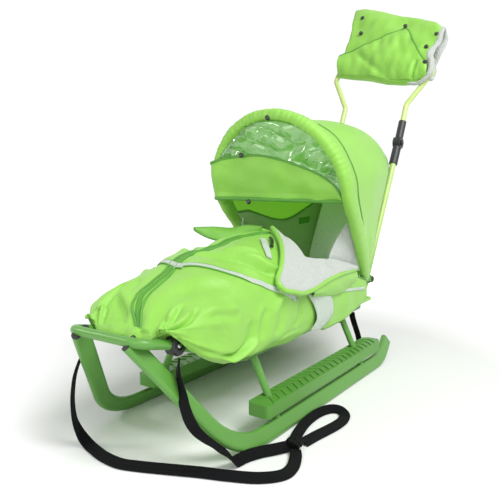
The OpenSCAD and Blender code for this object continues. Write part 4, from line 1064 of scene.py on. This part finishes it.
def flapPoints():
    # Front flap of the muff: its upper edge peaks at the middle snap and falls to both ends
    y = np.linspace(-172, 174, 120)[:, None]
    v = np.linspace(0, 1, 60)[None]
    muffUpper, muffLower = lookUp(muffTop, y), lookUp(muffLow, y)
    low = muffLower + 8
    up = low + (lookUp(muffFlapTop, y) - low) * v
    middle, half = (muffUpper + muffLower) / 2, (muffUpper - muffLower) / 2
    rounding = np.sqrt(np.clip(1 - np.abs((up - middle) / half) ** 2.6, 0, 1))
    out = flapSpec["out"] * rounding + 2 + 4 * np.sin(math.pi * v)
    out = out + ripples(y, up, 77, 6, 60, 170) * flapSpec["wave"]
    out = out + ripples(y, up, 79, 6, 35, 70) * flapSpec["fineWave"]
    # Two folds: a long slack one across the far half, and a tuck beside the near end
    slack = np.exp(-(((up + 30 + 0.75 * (y + 55)) / 17) ** 2)) * np.exp(-(((y + 50) / 62) ** 2))
    tuck = np.exp(-(((y - 126 - 0.22 * (up + 90)) / 6) ** 2)) * ease(-up, 42, 62)
    out = out - flapSpec["slack"] * slack - flapSpec["tuck"] * tuck
    return onHandle(gripReach + up, y + 0 * v, out)


flapGrid = flapPoints()
finishPiece(clothMesh("muffFlap", flapGrid, nylon, 4), "handle", "green_nylon")
flapEdge = smooth(flapGrid[::3, -1], 160)
finishPiece(trimMesh("muffFlapEdge", flapEdge, (0, 1, 0.3), 7, 7, nylonDeep), "handle", "green_nylon")

print("snaps and screws")
# Radius and height of each kind, in millimetres; the screws and caps also have their place
snapSpec = {"muff": (7.5, 4), "visor": (7, 4)}
screwSpec = {"y": 110.5, "z": 253, "size": (6, 3)}
capSpec = {"y": 131.5, "size": (8, 2.5)}


def button(name, centre, normal, radius, height, material, body, slotName):
    # Domed disc: rings whose radius and height follow a quarter circle
    normal = unit(np.asarray(normal, float))
    side = unit(np.cross(normal, [0.31, 0.2, 0.93]))
    other = np.cross(normal, side)
    ring = np.array([[1, -0.6], [1, 0], [0.94, 0.5], [0.75, 0.85], [0.4, 1], [0.02, 1.03]])
    a = np.linspace(0, 2 * math.pi, 28, endpoint=False)[None, :, None]
    flat = side * np.cos(a) + other * np.sin(a)
    p = np.asarray(centre, float) + radius * ring[:, :1, None] * flat + height * ring[:, 1:, None] * normal
    disc = gridMesh(name, place(p), material, around=True, capped=True)
    finishPiece(faceOut(disc), body, slotName)


forward = [math.cos(handleLean), 0, math.sin(handleLean)]
muffSnaps = ((-120, 175, 33), (-108, 101, 38), (67, 99, 46), (182, 60, 30), (158, 6, 38), (166, -60, 42))
for index, (y, up, out) in enumerate(muffSnaps):
    centre = onHandle(np.array(gripReach + up), np.array(float(y)), np.array(float(out)))
    button("muffSnap%d" % index, centre, forward, *snapSpec["muff"], snapMetal, "handle", "black_plastic")
visorSnaps = ((-0.5, 636), (0.02, 731), (-0.46, 506))
for index, (u, z) in enumerate(visorSnaps):
    centre = visorSheet(np.array(u), np.array(float(z)), 6)
    button("visorSnap%d" % index, centre, (1, 0, 0.2), *snapSpec["visor"], snapMetal, "hood",
           "black_plastic")
for side, mirrored in sides:
    outside = (0, mirrored, 0)
    button("hubScrew" + side, (hubX, mirrored * screwSpec["y"], screwSpec["z"]), outside, *screwSpec["size"],
           screwMetal, "sled", "black_plastic")
    button("knuckleCap" + side, (pivot[0], mirrored * capSpec["y"], pivot[1]), outside, *capSpec["size"],
           blackPlastic, "sled", "black_plastic")

print("stage")
floorSpec = {"half": 30, "z": -0.0005, "colour": (0.93, 0.93, 0.93, 1), "roughness": 0.8, "fadeFrom": 0.6,
             "fadeTo": 1.5, "fade": 0.75}
worldSpec = {"light": 0.30, "backdrop": 0.74}
lights = {
    "keyLight": {"position": (0.6, 2.2, 3.1), "target": (0, 0, 0.4), "size": 1.8, "power": 118},
    "fillLight": {"position": (2.6, 0.5, 1.1), "target": (-0.1, 0, 0.45), "size": 1.4, "power": 16},
    "glareLight": {"position": (1.30, -0.85, 0.86), "target": (0.15, 0, 0.66), "size": 0.22, "power": 3},
}
floorMesh = bpy.data.meshes.new("floor")
half, low = floorSpec["half"], floorSpec["z"]
floorMesh.from_pydata([(-half, -half, low), (half, -half, low), (half, half, low), (-half, half, low)], [],
                      [(0, 1, 2, 3)])
floor = bpy.data.objects.new("floor", floorMesh)
bpy.context.scene.collection.objects.link(floor)
floorPaint = bpy.data.materials.new("floorPaint")
floorPaint.use_nodes = True
tree = floorPaint.node_tree
floorShader = tree.nodes["Principled BSDF"]
floorShader.inputs["Base Color"].default_value = floorSpec["colour"]
floorShader.inputs["Roughness"].default_value = floorSpec["roughness"]
floorShader.inputs["Emission Color"].default_value = (1, 1, 1, 1)


def backdropRays(tree):
    # 1 for the rays that show the backdrop: straight from the camera, or by way of gloss or clear film
    ray = tree.nodes.new("ShaderNodeLightPath")
    seen = maths(tree, "MAXIMUM", ray.outputs["Is Camera Ray"], ray.outputs["Is Transmission Ray"])
    return maths(tree, "MAXIMUM", seen, ray.outputs["Is Glossy Ray"])


# The floor fades to the white of the backdrop away from the sled
coords = tree.nodes.new("ShaderNodeTexCoord")
away = addNode(tree, "ShaderNodeVectorMath", {0: coords.outputs["Object"]})
away.operation = "LENGTH"
fade = addNode(tree, "ShaderNodeMapRange", {"Value": away.outputs["Value"]}, From_Min=floorSpec["fadeFrom"],
               From_Max=floorSpec["fadeTo"], To_Min=0.0, To_Max=floorSpec["fade"])
glow = maths(tree, "MULTIPLY", backdropRays(tree), fade.outputs["Result"])
tree.links.new(glow, floorShader.inputs["Emission Strength"])
floorMesh.materials.append(floorPaint)

world = bpy.data.worlds.new("studio")
bpy.context.scene.world = world
world.use_nodes = True
tree = world.node_tree
background = tree.nodes["Background"]
background.inputs["Color"].default_value = (1, 1, 1, 1)
shown = maths(tree, "MULTIPLY", backdropRays(tree), worldSpec["backdrop"])
level = maths(tree, "ADD", shown, worldSpec["light"])
tree.links.new(level, background.inputs["Strength"])


def softBox(name, position, target, size, power):
    # A square lamp that faces its target
    light = bpy.data.lights.new(name, "AREA")
    light.energy = power
    light.size = size
    lamp = bpy.data.objects.new(name, light)
    lamp.location = position
    lamp.rotation_euler = (Vector(target) - Vector(position)).to_track_quat("-Z", "Y").to_euler()
    bpy.context.scene.collection.objects.link(lamp)


for name, spec in lights.items():
    softBox(name, **spec)
bpy.context.scene.view_settings.view_transform = "Standard"
